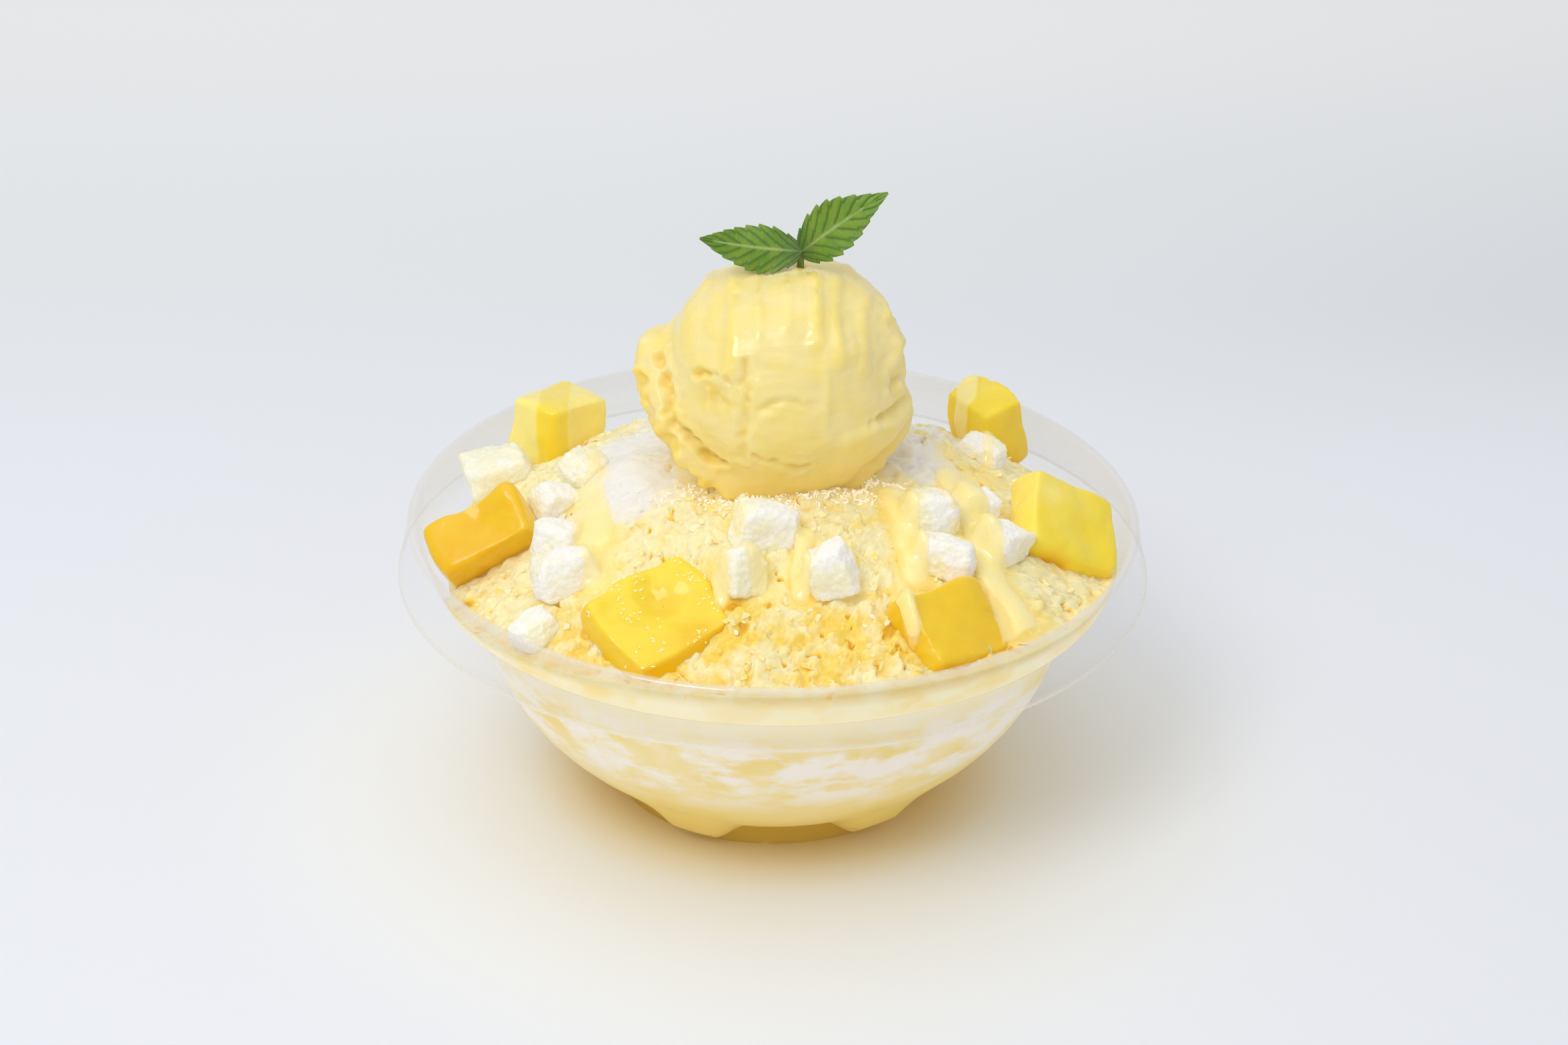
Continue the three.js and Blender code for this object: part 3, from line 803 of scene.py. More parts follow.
def poured(x, y):
    """How far inside the nearest run a place is, 1 on its middle line and 0 at its edge; how thick."""
    flat = np.stack([x, y, np.zeros(len(x))], axis=1)
    wobble = 1.2 + 0.2 * noise(flat, 6, 120) + 0.08 * noise(flat, 2.4, 121)
    share, rise = np.full(len(x), -9.0), np.zeros(len(x))
    for half, thick, *places in POURS:
        line = along(places, RUN_STEP)
        reach = 3 * half
        near = (x > line[:, 0].min() - reach) & (x < line[:, 0].max() + reach)
        near &= (y > line[:, 1].min() - reach) & (y < line[:, 1].max() + reach)
        away = distance_to(flat[near, :2], line) / (half * wobble[near])
        share[near] = np.maximum(share[near], 1 - away**2)
        rise[near] = np.maximum(rise[near], thick * np.sqrt(np.clip(1 - away**2, 0, 1)))
    return share, rise


# --- ice --------------------------------------------------------------------

ICE_EDGE = {"front": 70.5, "right": 64.0, "back": 58.5, "left": 59.0}
HEAP_TOP = 90.5
HEAP_PLATEAU = 10.0
HEAP_REACH = 84.0
HEAP_POWER = 1.8
MOUNDS = ((-37, -8, 5, 15), (37, 14, 4, 13), (-72, 24, 5, 15))  # x, y, rise, radius
WALL_REACH = 0.3  # how far into the bowl's wall the ice reaches, so that no air shows
ICE_RADIUS = BODY_RADIUS + WALL_REACH
DRY_PLACES = ((-36, -13, 16), (-33, 10, 20), (34, 4, 14), (-57, -17, 7), (38, 28, 14), (-20, 36, 18))
SOFT_PLACES = DRY_PLACES[:2]  # soft snow with hardly any grain
SNOW_GRAIN = 0.2  # share of the grain that is left there
SWAY = 0.4  # how far the grain wanders sideways
FILL_ROWS = 18
ON_RIM = 0.99999  # share of the way out from which a point of the heap's grid is on its rim
# Painted shade: deep amber patches on the ice at the feet of the mango cubes: x, y, radius.
CUBE_FOOT_SHADE = ((28, -66, 3), (30, -72, 3.5), (-7, -68, 3), (-9, -62, 2.5), (-1, -62, 2), (-76, -34, 4))


def compass(values, azimuth):
    """Blends a value given for four sides smoothly round the compass."""
    front, right, back, left = (values[side] for side in ("front", "right", "back", "left"))
    mean = (front + right + back + left) / 4
    swell = (right + left - front - back) / 4
    sides = (right - left) / 2 * np.cos(azimuth) + (back - front) / 2 * np.sin(azimuth)
    return mean + sides + swell * np.cos(2 * azimuth)


def heap_height(x, y):
    """The heap's surface without its grain."""
    edge = compass(ICE_EDGE, np.arctan2(y, x))
    slope = np.clip((np.hypot(x, y) - HEAP_PLATEAU) / (HEAP_REACH - HEAP_PLATEAU), 0, 1)
    height = edge + (HEAP_TOP - edge) * (1 - slope**HEAP_POWER)
    for left, back, rise, radius in MOUNDS:
        height = height + rise * np.exp(-2 * ((x - left) ** 2 + (y - back) ** 2) / radius**2)
    return height


def neck_radius(height):
    """Radius at which the ice ends in the flared wall."""
    share = np.clip((height - LEDGE[1]) / (NECK[1] - LEDGE[1]), 0, 1)
    return LEDGE[0] + share * (NECK[0] - LEDGE[0]) + WALL_REACH


def heap_reach(azimuth):
    """How far out the heap's surface goes before it meets the wall or the ledge."""
    reach = np.full(len(azimuth), ICE_RADIUS)
    open_still = np.ones(len(azimuth), bool)
    for radius in np.arange(ICE_RADIUS, NECK[0], 0.1):
        height = heap_height(radius * np.cos(azimuth), radius * np.sin(azimuth))
        open_still &= (radius < neck_radius(height)) & (height > LEDGE[1] + 0.3)
        reach = np.where(open_still, radius, reach)
    return reach


def round_grid(points):
    """Maps a square of side 2 to the unit disc, with cells of one size: radius and azimuth."""
    x, y = points[:, 0], points[:, 1]
    wide = np.abs(x) > np.abs(y)
    radius = np.where(wide, x, y)
    ratio = np.where(wide, y, x) / np.where(radius == 0, 1, radius) * math.pi / 4
    azimuth = np.where(wide, ratio, math.pi / 2 - ratio)
    azimuth = np.where(radius < 0, azimuth + math.pi, azimuth)
    return np.abs(radius), azimuth


def ice_relief(points):
    """Height of packed flakes and pits over the smooth heap, how deep the pits are, and tones."""
    bent = warped(points, 5.0, 1.6, 1)
    large, tone = shards(bent, 3.3, 40)
    small, _ = shards(warped(points, 2.2, 0.7, 9), 1.5, 50)
    clumps = 1.2 * noise(bent, 11, 4) + 1.4 * (0.42 - np.abs(noise(bent, 5.0, 5)))
    clumps += 0.8 * (0.4 - np.abs(noise(warped(points, 3, 1.0, 12), 2.6, 6)))
    pits = smooth(noise(warped(points, 2.4, 1.8, 74), 2.2, 8), 0.55, 0.72)
    height = 0.85 * clumps + 0.8 * large + 0.34 * small + 0.08 * noise(points, 0.9, 7) - 1.7 * pits
    return height, pits, tone


def marked(places, x, y):
    """How close each place is to the nearest of some round patches, from 0 to 1."""
    flat = np.stack([x, y], axis=1)
    return np.max([swelling(flat, place, size) for *place, size in places], axis=0)


def shaved_ice(settings):
    """Shaved ice: soaked and pale, amber in pits and hollows as syrup and painted shade, white where dry,
    marbled behind the wall, with a painted glow.
    """
    shader = Shader("shaved_ice")
    relief, dry, tone, wet = (shader.attribute(name) for name in ("relief", "dry", "tone", "wet"))
    _, y, z = shader.axes()
    patches = shader.grain(7, 3.0, rough=0.5) * 2.2 + tone * 0.2 - wet * 0.3 - 0.7
    patches = (patches + y.step(-78, -30) * 0.5).step(0.25, 0.95)
    soaked = shader.mix(patches, settings.soaked, settings.pale)
    soaked = shader.mix(wet * 0.7, soaked, srgb(250, 230, 152))
    # Painted shade: the lower the ice lies in its relief, and round the cubes' feet, the deeper amber it is
    # painted; in the pits this is also syrup.
    hollow = shader.grain(6, 2.0) * 1.0 + shader.attribute("syrup_and_shade") * 3.0 - relief
    soft = shader.mix(hollow.step(0.8, 2.6) * 0.8, soaked, srgb(248, 214, 84))
    soft = shader.mix(hollow.step(2.1, 3.3), soft, settings.syrup_and_shade)
    top = shader.mix((dry + (shader.grain(6, 3.0) - 0.5) * 0.8).step(0.35, 0.75), soft, settings.dry)
    smears = shader.grain(9, 5.0, (1.7, 1.7, 0.75), 0.62) + shader.grain(1.5, 2.0, (3, 3, 1)) * 0.12
    snow = (smears - 0.08).step(0.37, 0.57) * z.step(20, 34) * (1 - z.step(45, 55) * 0.6)
    milk = shader.mix(shader.grain(16, 3.0).step(0.3, 0.7), settings.milk, srgb(246, 232, 186))
    milk = shader.mix(z.step(8, 36), srgb(237, 208, 106), milk)
    milk = shader.mix(z.step(44, 54) * (1 - z.step(57, 60)) * 0.8, milk, srgb(252, 242, 212))
    lip = shader.mix(shader.grain(11, 3.0).step(0.4, 0.62), srgb(252, 238, 192), srgb(247, 220, 126))
    milk = shader.mix(z.step(60, 64), milk, lip)
    marbled = shader.mix(snow, milk, srgb(246, 243, 237))
    # Painted glow of the sides behind the wall, warmer and paler towards the ledge.
    collar = shader.mix(z.step(50, 62), settings.painted_glow, srgb(236, 212, 132))
    side = shader.attribute("side")
    rough = shader.grain(1.2, 3.0) * 0.35 + dry * 0.3 - wet * 0.06 + side * 0.5 + 0.09
    normal = shader.bump(shader.grain(1.4, 3.0, rough=0.55) * (1 - side), 0.35, 0.5)
    base = shader.mix(side, top, marbled)
    # Painted glow on top: amber in the creases and grey-white where the ice is dry, for light that comes
    # through it.
    crease_glow = shader.mix((0.2 - relief).step(0, 2), srgb(118, 100, 44), srgb(206, 168, 78))
    white = srgb(114, 111, 103)
    light = shader.mix(side, shader.mix(dry, crease_glow, white), collar)
    return shader.done(
        Base_Color=base, Roughness=rough, Normal=normal, IOR=1.33, **seeping(0.8, (1.0, 0.95, 0.6), 2.2),
        **glowing(light, 0.25),
    )


def fill_rows(azimuth, reach, top):
    """Rows of points from the heap's edge down the wall to the floor, one array of x, y, z a row."""
    middle = (top + LEDGE[1]) / 2
    rows = [(np.minimum(neck_radius(middle), reach), middle)]
    for radius, height in outer_bend(WALL_REACH, -25, -88, 4) + inner_bend(WALL_REACH, 95, 140, 2):
        rows.append((np.minimum(radius, reach), np.full(len(azimuth), height)))
    for degrees in np.linspace(BODY_SPAN[1], BODY_SPAN[0], FILL_ROWS):
        radius, height = body_point(degrees, -WALL_REACH)
        place = body_point(degrees, 0)[0]
        out, down = foot_shift(azimuth, place, height, -WALL_REACH)
        rows.append((radius + out, height - down))
    rows = [(radius, np.minimum(height, top - 0.05 * (i + 1))) for i, (radius, height) in enumerate(rows)]
    return [np.stack([r * np.cos(azimuth), r * np.sin(azimuth), z], axis=1) for r, z in rows]


class DESSERT_OT_ice(bpy.types.Operator):
    """Heaps the shaved ice in the bowl"""

    bl_idname = "dessert.ice"
    bl_label = "Shaved ice"

    def execute(self, context):
        settings = context.scene.dessert_ice
        ice = flat_grid("ice_heap", 2, settings.cells, settings.cells)
        flat = points_of(ice) * MM
        share, azimuth = round_grid(flat)
        reach = heap_reach(azimuth)
        radius = share * reach
        x, y = radius * np.cos(azimuth), radius * np.sin(azimuth)
        base = np.stack([x, y, heap_height(x, y)], axis=1)
        rim = np.nonzero(share > ON_RIM)[0]
        rows = fill_rows(azimuth[rim], reach[rim], base[rim, 2])
        with editing(ice, "DESELECT"):
            bpy.ops.mesh.select_non_manifold()
            for _ in rows:
                bpy.ops.mesh.extrude_edges_move()
            bpy.ops.mesh.edge_face_add()
        points = points_of(ice)
        start = len(flat)
        order = {tuple(np.round(flat[i, :2], 6)): place for place, i in enumerate(rim)}
        spots = np.array([order[tuple(np.round(p[:2] * MM, 6))] for p in points[start:]])
        spots = spots.reshape(len(rows), len(rim))
        points[start:] = np.concatenate([places[spot] for places, spot in zip(rows, spots)])
        relief, pits, tone = ice_relief(base)
        x, y = base[:, 0], base[:, 1]
        dry = marked(DRY_PLACES, x, y)
        wet = smooth(poured(x, y)[0], -2.0, 0.4)
        calm = smooth(reach - radius, 0.4, 4.0) * (1 - 0.7 * wet)
        move_points(ice, np.concatenate([base, points[start:]]))
        normal = normals_of(ice)[:start]
        sway = np.stack([noise(base, 2.4, seed) for seed in (21, 22, 23)], axis=1) * SWAY
        lift = settings.relief * relief * (1 - (1 - SNOW_GRAIN) * marked(SOFT_PLACES, x, y)) * calm
        points[:start] = base + normal * lift[:, None] + sway * calm[:, None]
        move_points(ice, points)
        # The last layer marks the painted amber shade at the cubes' feet.
        layers = {
            "relief": relief - 1.5 * pits, "dry": dry, "tone": tone, "wet": wet,
            "syrup_and_shade": marked(CUBE_FOOT_SHADE, x, y),
        }
        below = np.zeros(len(points) - start)
        layers = {name: np.concatenate([values, below]) for name, values in layers.items()}
        paint(ice, side=np.arange(len(points)) >= start, **layers)
        finish_piece(ice, shaved_ice(settings), ["shaved_ice"])
        return {"FINISHED"}


# --- ice cream --------------------------------------------------------------

FINE_STEP = 0.6  # between the points that stand for a fold, or for a run down a cube
SCOOP_CENTRE = np.array([2.3, 0.0, 110.0])
COLLAR_LATITUDE = {"front": -57, "right": -20, "back": -37, "left": 14}
CREVICE_DEPTH = {"front": 0.3, "right": 1.0, "back": 1.0, "left": 0.8}
# Cream runs down the ball: x, half width, lower end, thickness.
RUNS_FRONT = (
    (-21.5, 2.8, 121, 0.8), (-15.8, 1.3, 129, 0.4), (-10.9, 2.0, 122, 0.9), (-4.5, 1.1, 131, 0.5),
    (2.5, 1.4, 133, 0.4), (9.7, 2.0, 129, 1.1), (14.5, 1.8, 124, 0.9), (12.4, 1.0, 111, 0.4),
    (21.5, 1.6, 121, 0.6),
)
RUNS_BACK = ((-17.0, 2.2, 118, 0.9), (-6.5, 1.7, 125, 0.7), (5.0, 2.2, 113, 0.9), (17.5, 1.8, 120, 0.8))
# Folds pressed into the ball by the scoop: half width, depth, amber (painted shade deep in the fold), then
# places.
FOLDS = (
    (1.0, 3.4, 0.7, (-29.1, -5.2, 119.6), (-27.3, -10.1, 117.7), (-25.4, -14.6, 114.4), (-25.3, -16.2, 112.7),
     (-26.2, -17.9, 110.3), (-24.9, -19.4, 107.2), (-22.4, -20.8, 104.9), (-19.4, -21.9, 102.2),
     (-16.1, -23.0, 99.7), (-11.7, -23.6, 98.4)),
    (1.4, 1.5, 0.6, (-7.2, -25.2, 125.6), (-6.3, -27.7, 119.5), (-7.1, -28.4, 113.4), (-8.0, -28.1, 107.5),
     (-8.5, -26.6, 102.0)),
    (1.1, 1.0, 0.3, (-6.6, -28.5, 112.4), (-4.2, -28.9, 115.3), (-0.5, -29.1, 116.6), (4.3, -29.1, 117.3),
     (9.9, -28.6, 117.0)),
    (1.0, 1.2, 0.5, (-4.6, -28.4, 104.0), (-1.1, -28.5, 101.0), (3.6, -27.8, 99.1), (9.2, -27.4, 100.1)),
    (0.9, 1.6, 0.9, (23.0, -22.8, 110.1), (25.8, -19.0, 109.4), (28.9, -13.8, 109.0), (30.5, -9.0, 109.5),
     (31.0, -3.0, 110.0)),
    (0.8, 2.0, 0.9, (-19.1, -19.5, 120.1), (-16.7, -21.6, 120.9), (-14.8, -23.1, 121.1),
     (-11.8, -25.2, 121.2), (-10.4, -26.2, 119.6)),
    (1.1, 1.3, 0.1, (30.6, -8.0, 116.4), (29.1, -12.0, 116.4), (28.7, -14.5, 114.2)),
)
# The upper edge of the thick curl at the lower right: x and height.
CURL_EDGE = ((10, 105.5), (17, 108.6), (22, 109.6), (26, 108.8), (29, 108.4), (34, 109.4))
CURL_RISE = 2.2
CRATER = (-15.2, -23.9, 115.5)
CRATER_RADIUS = 4.8
# Lumps on the ball: place, radius, rise.
LUMPS = (
    ((-3.3, -27.9, 120.5), 3.5, 0.9), (CRATER, 4.0, -2.4), ((-1.2, -29.4, 108.8), 5.5, 1.1),
    ((6.8, -29.8, 110.2), 5.0, 0.8), ((16.8, -22.4, 126.8), 4.5, 0.7), ((29.1, -8.1, 122.4), 4.0, 1.3),
    ((28.0, -2.5, 128.3), 3.5, 1.5), ((19.8, -22.9, 101.7), 6.0, 0.5), ((8.0, -5.0, 139.0), 6.0, 1.2),
    ((-24.0, 12.0, 124.0), 5.0, 0.8), ((4.0, 27.0, 118.0), 7.0, 0.9), ((18.0, 22.0, 106.0), 6.0, 0.8),
)


def cream_runs(points):
    """Thickness of the cream that runs down the ball."""
    wander = points[:, 0] + 0.5 * noise(points, 9, 31)
    thick = np.zeros(len(points))
    for runs, back in ((RUNS_FRONT, False), (RUNS_BACK, True)):
        for x, half, end, rise in runs:
            shown = smooth(points[:, 1], -2, 2) if back else 1 - smooth(points[:, 1], -2, 2)
            width = half * (1 + 0.25 * np.exp(-(((points[:, 2] - end - 1.5) / 2.5) ** 2)))
            past = np.maximum(end + half - points[:, 2], 0) / (1.3 * half)
            away = np.hypot((wander - x) / width, past)
            thick = np.maximum(thick, 0.8 * rise * (1 - smooth(away, 0.1, 1.4)) * shown)
    return thick


def fold_relief(points):
    """How deep the folds go, how much painted amber shade lies in them, and how high their lips stand."""
    crinkle = 0.9 + 0.5 * noise(points, 2.2, 56)
    torn = warped(warped(points, 6, 1.2, 57), 1.8, 0.6, 61)
    depth, amber, lip = np.zeros((3, len(points)))
    for half, deep, tint, *places in FOLDS:
        away = distance_to(torn, along(places, FINE_STEP)) / (half * crinkle)
        near = np.exp(-(away**2))
        lip = np.maximum(lip, 0.2 * deep * np.exp(-(((away - 2.1) / 0.8) ** 2)))
        depth = np.maximum(depth, deep * near)
        amber = np.maximum(amber, tint * near**3)
    return depth, amber, lip


def lump_relief(points, latitude):
    """Lumps, scrapes, the crater, the curl and the torn right side, and where the crater is."""
    x, y, z = points.T
    lumps = 0.6 * noise(points, 8, 43) + 0.2 * noise(warped(points, 4, 1.5, 44), 3.2, 47)
    scraped = smooth(noise(points * np.array([1, 1, 1.6]), 6, 58), 0.1, 0.5)
    scraped *= 1 - smooth(latitude, 15, 40)
    lumps += scraped * 0.25 * noise(warped(points, 2, 0.8, 64), 1.6, 59)
    crater = swelling(points, CRATER, CRATER_RADIUS, power=2)
    lumps += crater * (1.1 * noise(points, 2.0, 68) + 0.7 * noise(points, 3.2, 69))
    under = z - np.interp(x, *zip(*CURL_EDGE)) - 0.8 * noise(points, 3.5, 67)
    curl = (1 - smooth(under, -2.0, 0.5)) * smooth(under, -17, -5) * smooth(x, 13, 25)
    lumps += CURL_RISE * curl * (1 - smooth(y, 0, 9))
    torn_side = smooth(x, 22, 30) * smooth(latitude, -5, 10)
    lumps += torn_side * (1.2 * noise(points, 3.4, 65) + 0.5 * noise(points, 1.7, 66))
    for place, radius, rise in LUMPS:
        lumps += rise * swelling(points, place, radius)
    return lumps, crater


def collar_relief(points, below):
    """Folds and torn bits of the collar, which is where below is 1, and where it melts."""
    folds = 0.6 * (0.35 - np.abs(noise(warped(points, 6, 3, 48), 6.5, 51)))
    rough = 0.45 * noise(points, 1.5, 54) + 0.5 * noise(points, 3.1, 73)
    melting = below * (1 - smooth(points[:, 0], -4, 14)) * (1 - smooth(points[:, 1], -4, 6))
    soft = 0.9 * noise(points, 2.2, 70) - 1.1 * np.abs(noise(points, 3.4, 71)) + 0.4
    return below * (folds + rough) + melting * soft, melting


def ice_cream(settings):
    """Mango ice cream with glossy runs of cream; deep yellow in its crevices, which is painted shade, and
    where it melts.
    """
    shader = Shader("ice_cream")
    cream = shader.attribute("cream")
    crevice = shader.attribute("crevice")
    _, _, z = shader.axes()
    base = shader.mix(shader.grain(8, 3.0).step(0.38, 0.68), settings.flesh, srgb(250, 226, 138))
    base = shader.mix((1 - z.step(82, 116)) * 0.55, base, srgb(246, 214, 108))
    base = shader.mix(cream.step(0.0, 0.7) * 0.7, base, srgb(254, 226, 122))
    base = shader.mix(crevice.clamped(), base, settings.crevice)
    drag = shader.grain(1.6, 3.0, (3, 3, 0.6), 0.6)
    normal = shader.bump(drag + shader.grain(0.7, 2.0) * 0.4, 0.3, 0.35)
    rough = (1 - cream.step(0.05, 0.4)) * 0.22 + shader.grain(4, 2.0) * 0.3 + 0.02
    return shader.done(
        Base_Color=base, Roughness=rough, Normal=normal, IOR=1.4, **seeping(0.5, (1.0, 0.85, 0.4), 2.0),
        Coat_Weight=cream.step(0.1, 0.4) * 0.7 + 0.15, Coat_Roughness=0.06, **glowing(base, 0.04),
    )


class DESSERT_OT_scoop(bpy.types.Operator):
    """Shapes the ball of ice cream from its CAD solid"""

    bl_idname = "dessert.scoop"
    bl_label = "Ice cream"

    def execute(self, context):
        settings = context.scene.dessert_scoop
        ball = merged_copy("ice_cream_scoop", "ice_cream_ball")
        modify(ball, "REMESH", mode="VOXEL", voxel_size=settings.cell * MM)
        modify(ball, "SMOOTH", factor=0.6, iterations=14)
        points = points_of(ball)
        normal = normals_of(ball)
        away = points - SCOOP_CENTRE
        azimuth = np.arctan2(away[:, 1], away[:, 0])
        rise = away[:, 2] / np.linalg.norm(away, axis=1)
        latitude = np.degrees(np.arcsin(np.clip(rise, -1, 1)))
        ragged = 3.0 * noise(points, 7, 41) + 1.6 * noise(points, 2.6, 42)
        ridge = compass(COLLAR_LATITUDE, azimuth) + ragged
        below = 1 - smooth(latitude, ridge - 2, ridge + 3)
        gap = np.exp(-(((latitude - ridge - 8.0) / 2.6) ** 2))
        sunken = compass(CREVICE_DEPTH, azimuth) * gap
        depth, amber, lip = fold_relief(points)
        lumps, crater = lump_relief(points, latitude)
        torn, melting = collar_relief(points, below)
        drag = 0.12 * noise(points * np.array([0.35, 0.35, 1.6]), 1.5, 52)
        cream = cream_runs(points) * (1 - 0.8 * below)
        lift = lumps + torn + drag + cream + lip - np.maximum(depth, sunken)
        # Painted amber shade in the gap above the collar and in the crater; where the collar melts, the amber
        # is its wetter colour.
        for tinted in (
            0.3 * gap * sunken / 2,
            melting * (0.4 + 0.7 * noise(points, 3.0, 72)),
            crater * (0.15 + 0.5 * noise(points, 2.4, 75)),
        ):
            amber = np.maximum(amber, tinted)
        move_points(ball, points + normal * lift[:, None])
        modify(ball, "SMOOTH", factor=0.5, iterations=3)
        paint(ball, cream=cream, crevice=np.clip(amber, 0, 1))
        finish_piece(ball, ice_cream(settings), ["ice_cream_scoop"])
        return {"FINISHED"}


# --- mango ------------------------------------------------------------------

# How pale each face of a cube is painted by the way it faces the light: painted light and shade.
MANGO_LIGHT_BY_FACING = {
    "front_left": (((0, 0, 1), 0.95), ((1, -1, 0), 0.0), ((-1, -1, 0), 0.45)),
    "left": (((0, 0, 1), 0.05), ((0, -1, 0), 0.1), ((1, 0, 0), 0.35)),
    "right": (((-0.5, -0.3, 1), 1.45), ((0.3, -1, 0), 0.95), ((1, 0, 0), 1.0)),
    "front_right": (((0, 0, 1), 0.35), ((0.5, -1, 0), 0.25), ((-1, -0.5, 0), 0.3)),
    "back_left": (((-0.9, -0.5, 0), 1.1), ((0.1, -1, 0), 0.7), ((0.8, -0.4, 0.3), 1.2)),
    "back_right": (((-0.5, -0.8, 0.3), 0.9), ((0.8, -0.5, 0), 0.6), ((0, 0, 1), 0.9)),
}

# Where a cube swells or, with a minus, is hollow: place, radius, rise.
MANGO_SWELLS = {
    "front_left": (((-27, -61.5, 80.5), 5, -1.8), ((-23, -54, 81), 4, 0.8)),
    "left": (((-72, -22, 82), 6, -1.6), ((-66, -16.5, 86.4), 4, 1.4)),
    "back_left": (((-61.5, 36, 82), 3, 0.9), ((-61.5, 36, 76), 3, 0.9), ((-50, 41, 77), 5, -1.0),
                  ((-69, 38, 77), 5, -0.9)),
    "right": (((68, -22, 72), 5, -0.8),),
    "back_right": (((64, 42, 78), 5, -1.4),),
    "front_right": (((45, -62, 80), 6, -0.5),),
}

# Where a cube is paler or, with a minus, deeper: place, radius, how much. The deep spots are painted shade in
# hollows and low corners, the pale one painted light on a top.
MANGO_SPOTS = {
    "right": (((66, -22, 71), 6, -1.2), ((68.5, -12, 86), 4, 0.4)),
    "front_right": (((33, -66, 72), 5, -0.6),),
    "front_left": (((-16, -71, 74), 7, -0.5), ((-27, -61.5, 80.5), 5, -0.4)),
}

# Upright bands of a cube painted paler or deeper as light falls on the facets of its front: from x, to x, how
# much.
MANGO_FACET_LIGHT_BANDS = {"back_left": ((-90, -61.8, 0.9), (-61.8, -54.4, 0.05), (-54.4, -30, 0.9))}

# Cream that ran down a cube: half width, thickness, then places.
MANGO_RUNS = {
    "front_right": (
        (2.0, 0.9, (30, -58, 83), (31.6, -64.1, 82.8), (32.8, -66.9, 80.3), (33.5, -69.0, 77.8)),
    ),
    "back_right": ((3.4, 0.7, (50.5, 54, 86), (49.8, 45.8, 84.5), (49.6, 45.0, 76.3), (49.5, 44.5, 70)),),
}


def mango_flesh(settings):
    """Ripe mango: wet and translucent, with fine fibres that run through the cube."""
    shader = Shader("mango_flesh")
    # pale carries painted light and shade: paler where light falls on the cube, deeper where shade falls.
    pale = shader.attribute("pale")
    fibres = shader.grain(2.2, 3.0, (5, 1, 1), 0.55)
    patch = shader.grain(8, 2.0)
    share = pale + (fibres - 0.5) * 0.2 + (patch - 0.5) * 0.7
    cream = shader.attribute("cream")
    base = shader.mix(share.clamped(), settings.ripe, settings.fresh)
    base = shader.mix((share - 1.0).clamped(), base, srgb(255, 234, 134))
    base = shader.mix(cream.step(0.1, 0.5), base, srgb(250, 230, 146))
    normal = shader.bump(fibres + shader.grain(2.5, 2.0) * 1.5, 0.3, 0.3)
    return shader.done(
        Base_Color=base, Roughness=shader.grain(5, 3.0) * 0.3 + 0.16, Normal=normal, IOR=1.33,
        Coat_Weight=0.4, Coat_Roughness=0.05, **seeping(0.35, (1.0, 0.95, 0.15), 2.0), **glowing(base, 0.06),
    )


ROUNDING = 4  # subdivision levels of cubes and rice cakes
CUBE_CREASE = (24, 0.85)  # sharp edges are those over so many degrees; how tight they stay
CAKE_CREASE = (20, 0.5)


def crease_edges(piece, angle, strength):
    """Marks a piece's sharp edges, so that subdivision leaves them tight."""
    with editing(piece, "DESELECT"):
        bpy.ops.mesh.select_mode(type="EDGE")
        bpy.ops.mesh.edges_select_sharp(sharpness=math.radians(angle))
        bpy.ops.transform.edge_crease(value=strength)
        bpy.ops.mesh.select_mode(type="VERT")


def cube_relief(points, side, seed):
    """How far a cube's surface stands out, and where cream lies on it."""
    lift = 0.6 + 1.2 * noise(points, 9, 60 + seed) + 0.2 * noise(points, 3.5, 70 + seed)
    lift += 0.06 * noise(points * np.array([0.3, 1, 1]), 1.6, 80 + seed)
    lift -= 0.35 * smooth(noise(points * np.array([0.4, 1.0, 0.4]), 3.0, 90 + seed), 0.5, 0.8)
    for place, radius, rise in MANGO_SWELLS.get(side, ()):
        lift += rise * swelling(points, place, radius)
    cream = np.zeros(len(points))
    for half, thick, *places in MANGO_RUNS.get(side, ()):
        body = np.clip(1 - (distance_to(points, along(places, FINE_STEP)) / half) ** 2, 0, 1)
        lift += thick * np.sqrt(body)
        cream = np.maximum(cream, body)
    return lift, cream


def cube_light_and_shade(points, normal, side):
    """How pale a cube is painted as light falls on it: by face, by spot, by band and a little more towards
    its top.
    """
    ways, shares = zip(*MANGO_LIGHT_BY_FACING[side])
    facing = np.stack([np.exp(5 * normal @ unit(np.array(way, float))) for way in ways])
    pale = np.array(shares) @ facing / facing.sum(axis=0)
    for place, radius, more in MANGO_SPOTS.get(side, ()):
        pale += more * swelling(points, place, radius, power=2)
    x, _, z = points.T
    for left, right, more in MANGO_FACET_LIGHT_BANDS.get(side, ()):
        pale += more * smooth(x, left - 0.5, left + 0.5) * (1 - smooth(x, right - 0.5, right + 0.5))
    return pale + 0.25 * (z - z.mean()) / np.ptp(z)


class DESSERT_OT_mango(bpy.types.Operator):
    """Cuts the mango cubes from their CAD solids"""

    bl_idname = "dessert.mango"
    bl_label = "Mango"

    def execute(self, context):
        settings = context.scene.dessert_fruit
        flesh = mango_flesh(settings)
        for seed, side in enumerate(MANGO_LIGHT_BY_FACING):
            node = f"mango_cube_{side}"
            cube = merged_copy(node, f"mango_{side}")
            crease_edges(cube, *CUBE_CREASE)
            modify(cube, "SUBSURF", levels=ROUNDING, render_levels=ROUNDING)
            modify(cube, "SMOOTH", factor=0.6, iterations=14)
            points = points_of(cube)
            normal = normals_of(cube)
            lift, cream = cube_relief(points, side, seed)
            move_points(cube, points + normal * lift[:, None])
            paint(cube, cream=cream, pale=cube_light_and_shade(points, normal, side))
            finish_piece(cube, flesh, [node])
        return {"FINISHED"}


# --- rice cakes -------------------------------------------------------------


